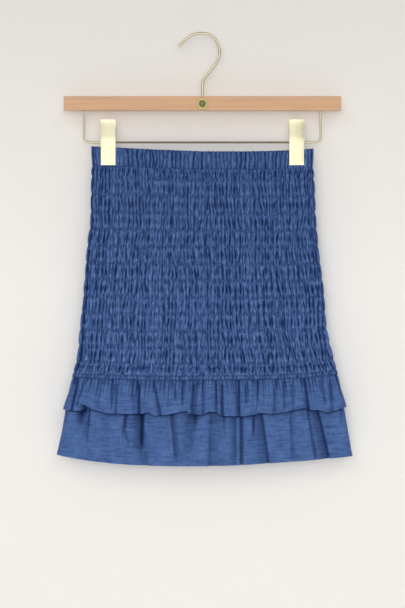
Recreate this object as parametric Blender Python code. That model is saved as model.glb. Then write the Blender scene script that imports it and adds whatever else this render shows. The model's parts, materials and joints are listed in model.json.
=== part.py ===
"""Smocked denim skirt with a ruffle and a flounce, clipped to a wooden hanger.

Metres, +Z up. The skirt's front faces -Y and its right side, as seen from the front, is at +X. The
origin is the highest point inside the hook's crook, where the hanger rests on whatever holds it.
"""

import math
from collections import namedtuple

import bmesh
import bpy
import numpy as np

# The gap between neighbouring pieces, and half of it on each side of the side seams
GAP = 0.0003
HALF_GAP = GAP / 2
# Points nearer than this are one, where a turned outline meets itself
MERGE_DISTANCE = 1e-7

# Rings of the cloth's plain inner face, from the waist down. Drop is the depth below the origin on the
# centre line, left and right are the ring's sides, the lifts say how much higher the ring stands at
# each side and the powers how late on the way out it rises. Side_radius rounds the sides, depth is half
# the ring's depth on the centre line, and fullness is how quickly that depth falls off to the sides.
Ring = namedtuple("Ring", "name drop left right lift_left lift_right power_left power_right "
                          "side_radius depth fullness")
RINGS = (
    Ring("waist top", 0.1645, -0.1546, 0.1546, 0.0074, 0.0043, 1.1, 3.0, 0.0010, 0.0060, 4.0),
    Ring("waist seam", 0.1907, -0.1532, 0.1532, 0.0058, 0.0028, 1.0, 3.0, 0.0014, 0.0070, 4.0),
    Ring("high hip", 0.2667, -0.1542, 0.1568, 0.0030, 0.0015, 1.5, 3.0, 0.0028, 0.0088, 3.0),
    Ring("hip", 0.3005, -0.1590, 0.1600, 0.0026, 0.0015, 2.0, 3.0, 0.0032, 0.0094, 2.6),
    Ring("seat", 0.3681, -0.1642, 0.1680, 0.0024, 0.0022, 2.5, 3.0, 0.0040, 0.0104, 2.2),
    Ring("thigh", 0.4190, -0.1696, 0.1722, 0.0026, 0.0040, 3.0, 3.0, 0.0045, 0.0112, 2.0),
    Ring("low thigh", 0.4525, -0.1722, 0.1794, 0.0030, 0.0058, 3.0, 3.0, 0.0050, 0.0118, 2.0),
    Ring("strip foot", 0.4863, -0.1807, 0.1880, 0.0036, 0.0076, 3.0, 3.0, 0.0054, 0.0124, 2.0),
    Ring("ruffle hem", 0.5300, -0.1908, 0.1976, 0.0060, 0.0088, 3.0, 2.2, 0.0066, 0.0150, 1.7),
    Ring("low flounce", 0.5700, -0.1966, 0.2040, 0.0105, 0.0108, 3.0, 1.7, 0.0082, 0.0182, 1.4),
    Ring("hem", 0.6060, -0.2038, 0.2098, 0.0150, 0.0130, 3.0, 1.5, 0.0100, 0.0210, 1.2),
)

WAIST_TOP_DROP = 0.1645
WAIST_SEAM_DROP = 0.1907
STRIP_TOP_DROP = 0.4780
STRIP_FOOT_DROP = 0.4863
HEM_DROP = 0.6060

# Waistband: a casing gathered on elastic
WAISTBAND_FOLDS = 18
# Share of the way down, and the wall's thickness there in a valley and on a ridge
BandRow = namedtuple("BandRow", "share valley ridge")
WAISTBAND_ROWS = (
    BandRow(0.00, 0.0013, 0.0017),
    BandRow(0.10, 0.0018, 0.0026),
    BandRow(0.88, 0.0018, 0.0027),
    BandRow(1.00, 0.0012, 0.0016),
)
# Where the clips press the gathers flat
PRESSED_HALF_WIDTH = 0.0135
PRESSED_WALL = 0.0017

# Smocked body: puffed folds between rows of elastic thread
BODY_FOLDS = 30
STITCH_ROWS = 12
FIRST_STITCH_DROP = 0.2054
STITCH_PITCH = 0.02355
STITCH_VALLEY = 0.0013
STITCH_RIDGE = 0.0019
PUFF_VALLEY = 0.0015
PUFF_RIDGE = 0.0033
PUFF_UNEVENNESS = 0.0006
SIDE_STITCH_WALL = 0.0021
SIDE_PUFF_WALL = 0.0029
# How far a fold wanders sideways, as a share of its own half width, and the waves that it follows,
# by how far each turns from one point to the next and for each metre down, in radians
FOLD_WANDER = 0.15
Wave = namedtuple("Wave", "per_point per_metre")
WANDER_WAVES = (Wave(0.90, 60.0), Wave(0.37, -31.0))
BODY_SEEDS = {-1: 4, 1: 6}
BODY_INNER_ROWS = 5

# Joining strip between the body and the two tiers, plain between its stitched edges
STRIP_STEPS = 10
StripRow = namedtuple("StripRow", "share wall")
STRIP_ROWS = (
    StripRow(0.00, 0.0026),
    StripRow(0.18, 0.0030),
    StripRow(0.82, 0.0030),
    StripRow(1.00, 0.0026),
)

# The two gathered tiers
TIER_FOLDS = 25
TIER_WALL = 0.0014
TIER_CLEARANCE = 0.0005
# Valleys of a tier: where each starts at the strip, where it ends at the hem, half its width and its
# depth at the hem
Valley = namedtuple("Valley", "top hem width depth")
FLOUNCE_VALLEYS = (
    Valley(-0.162, -0.168, 0.014, 0.0060),
    Valley(-0.134, -0.138, 0.012, 0.0030),
    Valley(-0.107, -0.110, 0.013, 0.0055),
    Valley(-0.084, -0.083, 0.014, 0.0095),
    Valley(-0.048, -0.037, 0.014, 0.0070),
    Valley(-0.018, -0.014, 0.013, 0.0050),
    Valley(0.018, 0.014, 0.014, 0.0065),
    Valley(0.047, 0.050, 0.015, 0.0080),
    Valley(0.072, 0.090, 0.014, 0.0085),
    Valley(0.116, 0.126, 0.013, 0.0040),
    Valley(0.148, 0.177, 0.018, 0.0095),
)
FLOUNCE_ROWS = (0.0, 0.14, 0.34, 0.56, 0.78, 1.0)
RUFFLE_VALLEYS = (
    Valley(-0.173, -0.178, 0.011, 0.0075),
    Valley(-0.142, -0.146, 0.011, 0.0050),
    Valley(-0.119, -0.122, 0.010, 0.0045),
    Valley(-0.093, -0.089, 0.012, 0.0075),
    Valley(-0.067, -0.058, 0.011, 0.0065),
    Valley(-0.040, -0.036, 0.011, 0.0045),
    Valley(-0.013, -0.011, 0.011, 0.0065),
    Valley(0.022, 0.025, 0.011, 0.0060),
    Valley(0.049, 0.051, 0.012, 0.0075),
    Valley(0.076, 0.077, 0.011, 0.0065),
    Valley(0.099, 0.101, 0.011, 0.0050),
    Valley(0.119, 0.125, 0.011, 0.0045),
    Valley(0.142, 0.152, 0.012, 0.0075),
    Valley(0.165, 0.174, 0.011, 0.0060),
)
RUFFLE_ROWS = (0.0, 0.3, 0.65, 1.0)
# Where the ruffle ends, as a share of the flounce's length, how far that wavers, and the waves that it
# follows, in radians for each metre across
RUFFLE_SHARE = 0.40
RUFFLE_WAVER = 0.018
WAVER_WAVES = (95.0, 151.0)
# The ruffle stands this far out between its valleys, at the strip and at its hem
RUFFLE_TOP_STAND = 0.0006
RUFFLE_HEM_STAND = 0.0075
# The back has like folds, each moved along and a little shallower
BACK_SHIFT = 0.011
BACK_DEPTH = 0.85

# Hanger
BAR_LENGTH = 0.390
BAR_HEIGHT = 0.020
BAR_DEPTH = 0.012
BAR_TOP_DROP = 0.0872
BAR_EDGE = 0.0008
HOOK_RADIUS = 0.0020
# The hook's centre line, from the bar up and round the crook to its tip, with each point's handles
HookPoint = namedtuple("HookPoint", "x z handles")
HOOK_ROUTE = (
    HookPoint(0.0000, -BAR_TOP_DROP + GAP, "VECTOR"),
    HookPoint(0.0003, -0.0665, "VECTOR"),
    HookPoint(0.0042, -0.0598, "AUTO"),
    HookPoint(0.0134, -0.0482, "AUTO"),
    HookPoint(0.0208, -0.0373, "AUTO"),
    HookPoint(0.0241, -0.0265, "AUTO"),
    HookPoint(0.0215, -0.0128, "AUTO"),
    HookPoint(0.0115, -0.0008, "AUTO"),
    HookPoint(0.0000, HOOK_RADIUS, "AUTO"),
    HookPoint(-0.0115, 0.0006, "AUTO"),
    HookPoint(-0.0215, -0.0052, "AUTO"),
    HookPoint(-0.0345, -0.0169, "VECTOR"),
)
HOOK_STEPS = 3

# A dished rosette on the bar's front with a domed screw in its well. Each profile runs from the axis at
# the back round to the axis at the front, and front is the distance forward of the piece's back.
TurnPoint = namedtuple("TurnPoint", "radius front")
ROSETTE_DROP = 0.0980
ROSETTE_FLOOR = 0.0005
ROSETTE_PROFILE = (
    TurnPoint(0.0, 0.0),
    TurnPoint(0.0080, 0.0),
    TurnPoint(0.0080, 0.0010),
    TurnPoint(0.0075, 0.0016),
    TurnPoint(0.0055, 0.0016),
    TurnPoint(0.0052, ROSETTE_FLOOR),
    TurnPoint(0.0, ROSETTE_FLOOR),
)
SCREW_PROFILE = (
    TurnPoint(0.0, 0.0),
    TurnPoint(0.0046, 0.0),
    TurnPoint(0.0046, 0.0009),
    TurnPoint(0.0033, 0.0016),
    TurnPoint(0.0, 0.0019),
)
ROUND_STEPS = 24

WIRE_RADIUS = 0.0015
WIRE_HALF_WIDTH = 0.1665
WIRE_DROP = 0.1516
WIRE_BEND = 0.0065
WIRE_BEND_STEPS = 4

# Clips
CLIP_X = 0.1325
CLIP_WIDTH = 0.0218
CLIP_PLATE = 0.0012
CLIP_EDGE = 0.00025
# The inner face of a clip's plate, from the jaw's tip up to the handle's end
ClipRow = namedtuple("ClipRow", "name drop distance")
CLIP_PROFILE = (
    ClipRow("tip", 0.1829, 0.0038),
    ClipRow("under the pivot", 0.1561, 0.0050),
    ClipRow("over the pivot", 0.1471, 0.0053),
    ClipRow("handle", 0.1205, 0.0104),
)
SPRING_RADIUS = 0.0046
SPRING_STEPS = 12

# Edges sharper than this are drawn sharp, in degrees: none on cloth
CLOTH_SHARP = 180
METAL_SHARP = 35
BAR_SHARP = 30
# A clip's edges are eased where they turn more than this
EASED_ANGLE = 50

# Colours and finishes: base colour, metallic, roughness
Finish = namedtuple("Finish", "colour metallic roughness")
FINISHES = {
    "smocked denim": Finish((0.042, 0.082, 0.208), 0.0, 0.85),
    "ruffle denim": Finish((0.055, 0.107, 0.262), 0.0, 0.85),
    "beech": Finish((0.665, 0.413, 0.246), 0.0, 0.5),
    "pale brass": Finish((0.752, 0.640, 0.330), 1.0, 0.25),
}


def clear_scene():
    for obj in list(bpy.data.objects):
        bpy.data.objects.remove(obj, do_unlink=True)


def material_of(kind, piece):
    """A piece's own material, with the finish of its kind."""
    finish = FINISHES[kind]
    material = bpy.data.materials.new(f"{kind} {piece}")
    material.use_nodes = True
    shader = material.node_tree.nodes["Principled BSDF"]
    shader.inputs["Base Color"].default_value = (*finish.colour, 1.0)
    shader.inputs["Metallic"].default_value = finish.metallic
    shader.inputs["Roughness"].default_value = finish.roughness
    return material


def add_object(name, data, kind):
    obj = bpy.data.objects.new(name, data)
    data.materials.append(material_of(kind, name))
    bpy.context.scene.collection.objects.link(obj)
    return obj


def add_mesh(name, bm, kind, sharp_angle):
    """The finished bmesh as an object, smooth but for edges sharper than the angle."""
    bmesh.ops.recalc_face_normals(bm, faces=bm.faces[:])
    mesh = bpy.data.meshes.new(name)
    bm.to_mesh(mesh)
    bm.free()
    mesh.shade_smooth()
    mesh.set_sharp_from_angle(angle=math.radians(sharp_angle))
    return add_object(name, mesh, kind)


def ring_at(drop):
    """The cloth's ring at this drop, read between the rows of RINGS."""
    drops = [ring.drop for ring in RINGS]
    between = {}
    for field in Ring._fields[2:]:
        between[field] = float(np.interp(drop, drops, [getattr(ring, field) for ring in RINGS]))
    return between


def ring_point(across, drop, out, side):
    """A point at a distance outside the ring.

    Across is 0 at the left seam, 1 to 2 over the broad middle and 3 at the right seam. Side is -1 on
    the front and 1 on the back.
    """
    ring = ring_at(drop)
    radius = ring["side_radius"]
    left = ring["left"] + radius
    right = ring["right"] - radius
    if across < 1:
        turn = across * math.pi / 2
        x = left - (radius + out) * math.cos(turn)
        y = (radius + out) * math.sin(turn)
    elif across > 2:
        turn = (3 - across) * math.pi / 2
        x = right + (radius + out) * math.cos(turn)
        y = (radius + out) * math.sin(turn)
    else:
        share = across - 1
        x = left + (right - left) * share
        crown = math.sin(math.pi * share) ** ring["fullness"]
        y = radius + out + (ring["depth"] - radius) * crown
    if x < 0:
        lift = ring["lift_left"] * (x / ring["left"]) ** ring["power_left"]
    else:
        lift = ring["lift_right"] * (x / ring["right"]) ** ring["power_right"]
    return x, side * (y + HALF_GAP), lift - drop


def columns_of(folds):
    """Places across a panel, even ones in valleys and odd ones on ridges, with a fold round each side."""
    middle = [float(place) for place in np.linspace(1, 2, 2 * folds + 1)]
    return [0.0, 0.5, *middle, 2.5, 3.0]


def add_grid(bm, columns, rows, place):
    """A grid of faces whose points are placed by column and row, row 0 on top."""
    made = bmesh.ops.create_grid(bm, x_segments=columns - 1, y_segments=rows - 1, size=0.5)
    points = {}
    for vert in made["verts"]:
        column = round((vert.co.x + 0.5) * (columns - 1))
        row = round((0.5 - vert.co.y) * (rows - 1))
        points[column, row] = vert
    for (column, row), vert in points.items():
        vert.co = place(column, row)
    return points


def row_edges(bm, points, columns, row):
    return [bm.edges.get((points[i, row], points[i + 1, row])) for i in range(columns - 1)]


def add_wall(name, kind, columns, outer_rows, outer, inner_rows, inner):
    """A closed cloth wall between an outer and an inner grid, its side ends flat at the seams."""
    bm = bmesh.new()
    outside = add_grid(bm, columns, outer_rows, outer)
    inside = add_grid(bm, columns, inner_rows, inner)
    for outer_row, inner_row in ((0, 0), (outer_rows - 1, inner_rows - 1)):
        edges = row_edges(bm, outside, columns, outer_row)
        edges += row_edges(bm, inside, columns, inner_row)
        bmesh.ops.bridge_loops(bm, edges=edges)
    open_edges = [edge for edge in bm.edges if edge.is_boundary]
    bmesh.ops.holes_fill(bm, edges=open_edges, sides=0)
    bmesh.ops.triangulate(bm, faces=bm.faces[:])
    return add_mesh(name, bm, kind, CLOTH_SHARP)


def is_ridge(column):
    return column % 2 == 1


def add_waistband(name, side):
    """One half of the gathered casing, pressed flat under the clips."""
    across = columns_of(WAISTBAND_FOLDS)
    length = WAIST_SEAM_DROP - HALF_GAP - WAIST_TOP_DROP

    def outer(column, row):
        level = WAISTBAND_ROWS[row]
        drop = WAIST_TOP_DROP + length * level.share
        wall = level.ridge if is_ridge(column) else level.valley
        x, y, z = ring_point(across[column], drop, wall, side)
        if abs(abs(x) - CLIP_X) < PRESSED_HALF_WIDTH:
            x, y, z = ring_point(across[column], drop, min(wall, PRESSED_WALL), side)
        return x, y, z

    def inner(column, row):
        return ring_point(across[column], WAIST_TOP_DROP + length * row, 0, side)

    return add_wall(name, "smocked denim", len(across), len(WAISTBAND_ROWS), outer, 2, inner)


def body_drops():
    """The drops of the body's edges and stitch rows, with the middle of each puff between them."""
    stitched = [WAIST_SEAM_DROP + HALF_GAP]
    stitched += [FIRST_STITCH_DROP + STITCH_PITCH * row for row in range(STITCH_ROWS)]
    stitched.append(STRIP_TOP_DROP - HALF_GAP)
    drops = [stitched[0]]
    for above, below in zip(stitched, stitched[1:]):
        drops += [(above + below) / 2, below]
    return drops


def add_body(name, side):
    """One smocked panel: folds raised between the stitch rows over a plain inside."""
    across = columns_of(BODY_FOLDS)
    drops = body_drops()
    uneven = np.random.default_rng(BODY_SEEDS[side]).uniform(-1, 1, (len(across), len(drops)))
    half_fold = across[3] - across[2]
    last = len(across) - 1

    def wall_at(column, row):
        puffed = row % 2 == 1
        if column in (0, last):
            return SIDE_PUFF_WALL if puffed else SIDE_STITCH_WALL
        if not is_ridge(column):
            return PUFF_VALLEY if puffed else STITCH_VALLEY
        if not puffed:
            return STITCH_RIDGE
        return PUFF_RIDGE + PUFF_UNEVENNESS * uneven[column, row]

    def outer(column, row):
        place = across[column]
        if 1 < place < 2:
            for wave in WANDER_WAVES:
                turn = column * wave.per_point + drops[row] * wave.per_metre
                place += FOLD_WANDER * half_fold * math.sin(turn)
        return ring_point(place, drops[row], wall_at(column, row), side)

    def inner(column, row):
        drop = drops[0] + (drops[-1] - drops[0]) * row / (BODY_INNER_ROWS - 1)
        return ring_point(across[column], drop, 0, side)

    return add_wall(name, "smocked denim", len(across), len(drops), outer, BODY_INNER_ROWS, inner)


def add_strip(name, side):
    """One half of the flat strip that joins the body to the two tiers."""
    across = columns_of(STRIP_STEPS)
    top = STRIP_TOP_DROP + HALF_GAP
    length = STRIP_FOOT_DROP - HALF_GAP - top

    def outer(column, row):
        level = STRIP_ROWS[row]
        return ring_point(across[column], top + length * level.share, level.wall, side)

    def inner(column, row):
        return ring_point(across[column], top + length * row, 0, side)

    return add_wall(name, "smocked denim", len(across), len(STRIP_ROWS), outer, 2, inner)


def side_fade(across):
    """1 over the broad middle of a panel, falling smoothly to 0 at its side seams."""
    return math.sin(min(across, 3 - across, 1) * math.pi / 2) ** 2


def valley_depth(valleys, x, share, side):
    """How deep a tier's valleys are at x, at this share of the way from strip to hem."""
    deep = 0
    for valley in valleys:
        shift = BACK_SHIFT if side > 0 else 0
        centre = valley.top + (valley.hem - valley.top) * share + shift
        reach = abs(x - centre) / valley.width
        if reach < 1:
            depth = valley.depth * (BACK_DEPTH if side > 0 else 1)
            deep = max(deep, depth * math.cos(reach * math.pi / 2) ** 2)
    return deep


def tier_drop(share):
    return STRIP_FOOT_DROP + HALF_GAP + (HEM_DROP - STRIP_FOOT_DROP - HALF_GAP) * share


def flounce_out(place, share, side):
    """How far the flounce's outer face lies outside the ring: a wall, less the valleys."""
    x = ring_point(place, tier_drop(share), 0, side)[0]
    return TIER_WALL - valley_depth(FLOUNCE_VALLEYS, x, share, side) * share * side_fade(place)


def add_flounce(name, side):
    across = columns_of(TIER_FOLDS)

    def face(thickness):
        def place_point(column, row):
            place = across[column]
            share = FLOUNCE_ROWS[row]
            out = flounce_out(place, share, side) - thickness
            return ring_point(place, tier_drop(share), out, side)
        return place_point

    rows = len(FLOUNCE_ROWS)
    return add_wall(name, "ruffle denim", len(across), rows, face(0), rows, face(TIER_WALL))


def add_ruffle(name, side):
    """The short tier: the flounce's points moved out, and standing away between its own valleys."""
    across = columns_of(TIER_FOLDS)
    nearest = TIER_WALL + TIER_CLEARANCE

    def face(thickness):
        def place_point(column, row):
            place = across[column]
            down = RUFFLE_ROWS[row]
            x = ring_point(place, STRIP_FOOT_DROP, 0, side)[0]
            waver = sum(math.sin(x * wave + side) for wave in WAVER_WAVES)
            share = down * (RUFFLE_SHARE + RUFFLE_WAVER * waver * side_fade(place))
            stand = RUFFLE_TOP_STAND + (RUFFLE_HEM_STAND - RUFFLE_TOP_STAND) * down
            stand -= valley_depth(RUFFLE_VALLEYS, x, down, side) * down
            out = nearest + max(stand, 0) * side_fade(place) + thickness
            return ring_point(place, tier_drop(share), out, side)
        return place_point

    rows = len(RUFFLE_ROWS)
    return add_wall(name, "ruffle denim", len(across), rows, face(TIER_WALL), rows, face(0))


def add_bar():
    bm = bmesh.new()
    made = bmesh.ops.create_cube(bm, size=1)
    bmesh.ops.scale(bm, vec=(BAR_LENGTH, BAR_DEPTH, BAR_HEIGHT), verts=made["verts"])
    bmesh.ops.bevel(
        bm, geom=bm.edges[:], offset=BAR_EDGE, segments=2, profile=0.5, affect="EDGES", material=-1)
    bar = add_mesh("hanger_bar", bm, "beech", BAR_SHARP)
    bar.location.z = -BAR_TOP_DROP - BAR_HEIGHT / 2
    return bar


def add_wire(name, spline_type, points, radius, steps):
    """A round wire along a centre line in the XZ plane. Returns its spline, for the handles."""
    curve = bpy.data.curves.new(name, "CURVE")
    curve.dimensions = "3D"
    curve.bevel_depth = radius
    curve.bevel_resolution = 2
    curve.resolution_u = steps
    curve.use_fill_caps = True
    spline = curve.splines.new(spline_type)
    if spline_type == "BEZIER":
        spline.bezier_points.add(len(points) - 1)
        for point, (x, z) in zip(spline.bezier_points, points):
            point.co = (x, 0, z)
    else:
        spline.points.add(len(points) - 1)
        for point, (x, z) in zip(spline.points, points):
            point.co = (x, 0, z, 1)
    add_object(name, curve, "pale brass")
    return spline


def add_hook():
    route = [(point.x, point.z) for point in HOOK_ROUTE]
    spline = add_wire("hanger_hook", "BEZIER", route, HOOK_RADIUS, HOOK_STEPS)
    for point, row in zip(spline.bezier_points, HOOK_ROUTE):
        point.handle_left_type = row.handles
        point.handle_right_type = row.handles


def add_clip_wire():
    """The wire under the bar: down, round a bend, along, round a bend and up."""
    top = -BAR_TOP_DROP - BAR_HEIGHT - GAP
    right_half = [(WIRE_HALF_WIDTH, top)]
    for step in range(WIRE_BEND_STEPS + 1):
        turn = math.pi / 2 * step / WIRE_BEND_STEPS
        x = WIRE_HALF_WIDTH - WIRE_BEND + WIRE_BEND * math.cos(turn)
        z = WIRE_BEND - WIRE_DROP - WIRE_BEND * math.sin(turn)
        right_half.append((x, z))
    left_half = [(-x, z) for x, z in reversed(right_half)]
    add_wire("clip_wire", "POLY", right_half + left_half, WIRE_RADIUS, 1)


def add_turned(name, outline, closed, axis, steps, centre):
    """A round solid: an outline in a plane through the axis, spun about it, then set at its centre."""
    bm = bmesh.new()
    verts = [bm.verts.new(point) for point in outline]
    pairs = list(zip(verts, verts[1:]))
    if closed:
        pairs.append((verts[-1], verts[0]))
    edges = [bm.edges.new(pair) for pair in pairs]
    bmesh.ops.spin(bm, geom=verts + edges, cent=(0, 0, 0), axis=axis, angle=2 * math.pi, steps=steps,
                   use_merge=True)
    bmesh.ops.remove_doubles(bm, verts=bm.verts[:], dist=MERGE_DISTANCE)
    obj = add_mesh(name, bm, "pale brass", METAL_SHARP)
    obj.location = centre
    return obj


def add_rosette():
    """The rosette against the bar's front, and the screw in its well."""
    rosette_back = -BAR_DEPTH / 2 - GAP
    screw_back = rosette_back - ROSETTE_FLOOR - GAP
    pieces = (
        ("hook_rosette", ROSETTE_PROFILE, rosette_back),
        ("rosette_screw", SCREW_PROFILE, screw_back),
    )
    for name, profile, back in pieces:
        outline = [(point.radius, -point.front, 0) for point in profile]
        add_turned(name, outline, False, (0, 1, 0), ROUND_STEPS, (0, back, -ROSETTE_DROP))


def add_clip_plate(name, centre_x, side):
    """A bent plate with two small ears that reach in to the wire at the pivot."""
    half = CLIP_WIDTH / 2
    columns = (-half, CLIP_PLATE - half, half - CLIP_PLATE, half)
    bm = bmesh.new()

    def inner_face(column, row):
        level = CLIP_PROFILE[row]
        return centre_x + columns[column], side * level.distance, -level.drop

    def outer_face(column, row):
        level = CLIP_PROFILE[row]
        return centre_x + columns[column], side * (level.distance + CLIP_PLATE), -level.drop

    near = add_grid(bm, len(columns), len(CLIP_PROFILE), inner_face)
    ears = []
    for column in (0, 2):
        corners = (near[column, 1], near[column + 1, 1], near[column + 1, 2], near[column, 2])
        ears.append(next(face for face in bm.faces if set(face.verts) == set(corners)))
    pushed = bmesh.ops.extrude_discrete_faces(bm, faces=ears)
    for face in pushed["faces"]:
        for vert in face.verts:
            vert.co.y = side * (WIRE_RADIUS + GAP)
    near_rim = [edge for edge in bm.edges if edge.is_boundary]
    add_grid(bm, len(columns), len(CLIP_PROFILE), outer_face)
    far_rim = [edge for edge in bm.edges if edge.is_boundary and edge not in near_rim]
    bmesh.ops.bridge_loops(bm, edges=near_rim + far_rim)
    plate = add_mesh(name, bm, "pale brass", METAL_SHARP)
    bevel = plate.modifiers.new("eased edges", "BEVEL")
    bevel.width = CLIP_EDGE
    bevel.segments = 1
    bevel.limit_method = "ANGLE"
    bevel.angle_limit = math.radians(EASED_ANGLE)


def add_clip(side_name, centre_x):
    add_clip_plate(f"clip_{side_name}_front", centre_x, -1)
    add_clip_plate(f"clip_{side_name}_back", centre_x, 1)
    bore = WIRE_RADIUS + GAP
    end = CLIP_WIDTH / 2 - CLIP_PLATE - GAP
    outline = ((-end, 0, bore), (-end, 0, SPRING_RADIUS), (end, 0, SPRING_RADIUS), (end, 0, bore))
    centre = (centre_x, 0, -WIRE_DROP)
    add_turned(f"clip_{side_name}_spring", outline, True, (1, 0, 0), SPRING_STEPS, centre)


def main():
    clear_scene()
    add_bar()
    add_hook()
    add_rosette()
    add_clip_wire()
    add_clip("left", -CLIP_X)
    add_clip("right", CLIP_X)
    for half_name, side in (("front", -1), ("back", 1)):
        add_waistband(f"waistband_{half_name}", side)
        add_body(f"body_{half_name}", side)
        add_strip(f"seam_band_{half_name}", side)
        add_flounce(f"flounce_{half_name}", side)
        add_ruffle(f"upper_ruffle_{half_name}", side)


main()
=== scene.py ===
"""The finished look of a smocked denim skirt on its clip hanger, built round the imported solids."""

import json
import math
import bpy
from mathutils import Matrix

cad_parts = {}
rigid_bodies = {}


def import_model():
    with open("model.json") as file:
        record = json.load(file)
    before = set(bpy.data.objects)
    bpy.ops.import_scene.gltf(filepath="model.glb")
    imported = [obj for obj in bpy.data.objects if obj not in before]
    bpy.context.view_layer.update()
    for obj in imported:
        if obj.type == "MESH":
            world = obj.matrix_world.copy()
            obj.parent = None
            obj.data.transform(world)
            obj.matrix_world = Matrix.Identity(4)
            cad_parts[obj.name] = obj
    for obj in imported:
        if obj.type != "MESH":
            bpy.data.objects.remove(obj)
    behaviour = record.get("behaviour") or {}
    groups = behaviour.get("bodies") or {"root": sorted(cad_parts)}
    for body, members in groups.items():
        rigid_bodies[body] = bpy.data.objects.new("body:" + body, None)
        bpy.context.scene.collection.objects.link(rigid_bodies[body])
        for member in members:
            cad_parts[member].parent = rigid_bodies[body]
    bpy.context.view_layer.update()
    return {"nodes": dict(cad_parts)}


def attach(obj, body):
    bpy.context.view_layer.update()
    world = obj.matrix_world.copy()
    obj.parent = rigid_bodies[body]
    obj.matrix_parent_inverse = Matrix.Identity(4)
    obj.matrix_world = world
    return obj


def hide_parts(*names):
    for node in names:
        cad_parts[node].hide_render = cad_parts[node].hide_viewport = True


bl_info = {
    "name": "Smocked Denim Skirt",
    "version": (1, 0, 0),
    "blender": (4, 5, 0),
    "location": "View3D > Sidebar > Skirt",
    "description": "Builds a smocked denim skirt on a clip hanger round its packed solids",
    "category": "Object",
}

from collections import namedtuple

import bmesh
import bpy
import numpy as np
from bpy.props import FloatProperty, FloatVectorProperty, PointerProperty
from bpy.types import Operator, Panel, PropertyGroup
from mathutils import Matrix, Vector

for leftover in list(bpy.data.objects):
    bpy.data.objects.remove(leftover)

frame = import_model()

FRONT, BACK = -1, 1
HALVES = (("front", FRONT), ("back", BACK))
HALF_GAP = 0.00015

# The plain inner face of the cloth, as rings from the waist down; a drop is measured from the hook
Ring = namedtuple("Ring", "drop left right lift_left lift_right power_left power_right "
                          "side_radius depth fullness")
RINGS = (
    Ring(0.1645, -0.1546, 0.1546, 0.0074, 0.0043, 1.1, 3.0, 0.0010, 0.0060, 4.0),
    Ring(0.1907, -0.1532, 0.1532, 0.0058, 0.0028, 1.0, 3.0, 0.0014, 0.0070, 4.0),
    Ring(0.2667, -0.1542, 0.1568, 0.0030, 0.0015, 1.5, 3.0, 0.0028, 0.0088, 3.0),
    Ring(0.3005, -0.1590, 0.1600, 0.0026, 0.0015, 2.0, 3.0, 0.0032, 0.0094, 2.6),
    Ring(0.3681, -0.1642, 0.1680, 0.0024, 0.0022, 2.5, 3.0, 0.0040, 0.0104, 2.2),
    Ring(0.4190, -0.1696, 0.1722, 0.0026, 0.0040, 3.0, 3.0, 0.0045, 0.0112, 2.0),
    Ring(0.4525, -0.1722, 0.1794, 0.0030, 0.0058, 3.0, 3.0, 0.0050, 0.0118, 2.0),
    Ring(0.4863, -0.1807, 0.1880, 0.0036, 0.0076, 3.0, 3.0, 0.0054, 0.0124, 2.0),
    Ring(0.5300, -0.1908, 0.1976, 0.0060, 0.0088, 3.0, 2.2, 0.0066, 0.0150, 1.7),
    Ring(0.5700, -0.1966, 0.2040, 0.0105, 0.0108, 3.0, 1.7, 0.0082, 0.0182, 1.4),
    Ring(0.6060, -0.2038, 0.2098, 0.0150, 0.0130, 3.0, 1.5, 0.0100, 0.0210, 1.2),
)
RING_STEP = 0.001
RING_BLEND = 7

WAIST_TOP_DROP = 0.1645
WAIST_SEAM_DROP = 0.1907
STRIP_FOOT_DROP = 0.4863
TAPE_TOP_DROP = 0.4795
HEM_DROP = 0.6060

# A panel's folds are placed on its width in the middle of the skirt, and fan out with the rings
HALF_WIDTH = 0.165
SIDE_REACH = 0.008
SIDE_COLUMNS = 10

FIRST_STITCH_DROP = 0.2054
STITCH_PITCH = 0.02355
STITCH_ROWS = 12
BODY_COLUMNS = {FRONT: 440, BACK: 370}
BODY_ROWS = {FRONT: 212, BACK: 160}
BODY_SEED = 21
FOLD_CREASE = 0.0012
NARROWEST_FOLD = 0.0016
FINE_SPACING = 0.0034
FINE_CREASE = 0.0007
FINE_RISE = 0.0007
BODY_SWELL = 0.0004
# How far out the cloth lies in a fold's valley, and how much farther at a row of stitching
BODY_FLOOR = 0.0009
BODY_ROW_FLOOR = 0.0008
# How far the body's two ends reach under the waistband and the strip, and how soon they come out
BODY_TUCK = (0.0012, 0.0008)
TUCK_EASE = (0.0022, 0.0020)
TUCKED_OUT = 0.0004
STITCH_WAVER = 0.0007
STITCH_SHIFT = 0.0007
# How far a row of stitching pinches the cloth above and below it
STITCH_REACH = 0.0048

WAISTBAND_COLUMNS = 400
WAISTBAND_SEED = 31
WAISTBAND_SPACING = 0.0062
WAISTBAND_RISE = 0.0024
WAISTBAND_DENT = 0.0008
WAISTBAND_DENT_REACH = 0.003
WAIST_SEAM_REACH = 0.003
# How far out the band's two sides lie, and half the width and the height of its turn between them
WAISTBAND_OUTSIDE = 0.0012
WAISTBAND_INSIDE = 0.0001
WAISTBAND_TURN = (0.0006, 0.0009)
CLIP_X = 0.1325
PRESSED_HALF_WIDTH = 0.0125
PRESSED_EDGE = 0.006

STRIP_COLUMNS = 400
STRIP_SEED = 41
# The strip's turned edge and the start of its flat face, as (distance in from the edge, distance out)
STRIP_EDGE = ((-0.0001, 0.0004), (-0.0002, 0.0016), (0.0, 0.0025), (0.0009, 0.0030))
STRIP_FACE = (0.0018, 0.0031)
STRIP_PRESSED_BEYOND = 0.002
STRIP_NEAREST = 0.0003
STRIP_CREASE = 0.0009
STRIP_UNEVEN = 0.0002
STRIP_STITCH_INSET = 0.0014
STRIP_STITCH_REACH = 0.0007
STRIP_FOLD_DEPTH = 0.0012
STRIP_STITCH_DEPTH = 0.0006
STRIP_WAVER = 0.0005
# How far the painted shade along the strip's upper and lower edge reaches
STRIP_SHADE_REACH = (0.0010, 0.0012)

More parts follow.
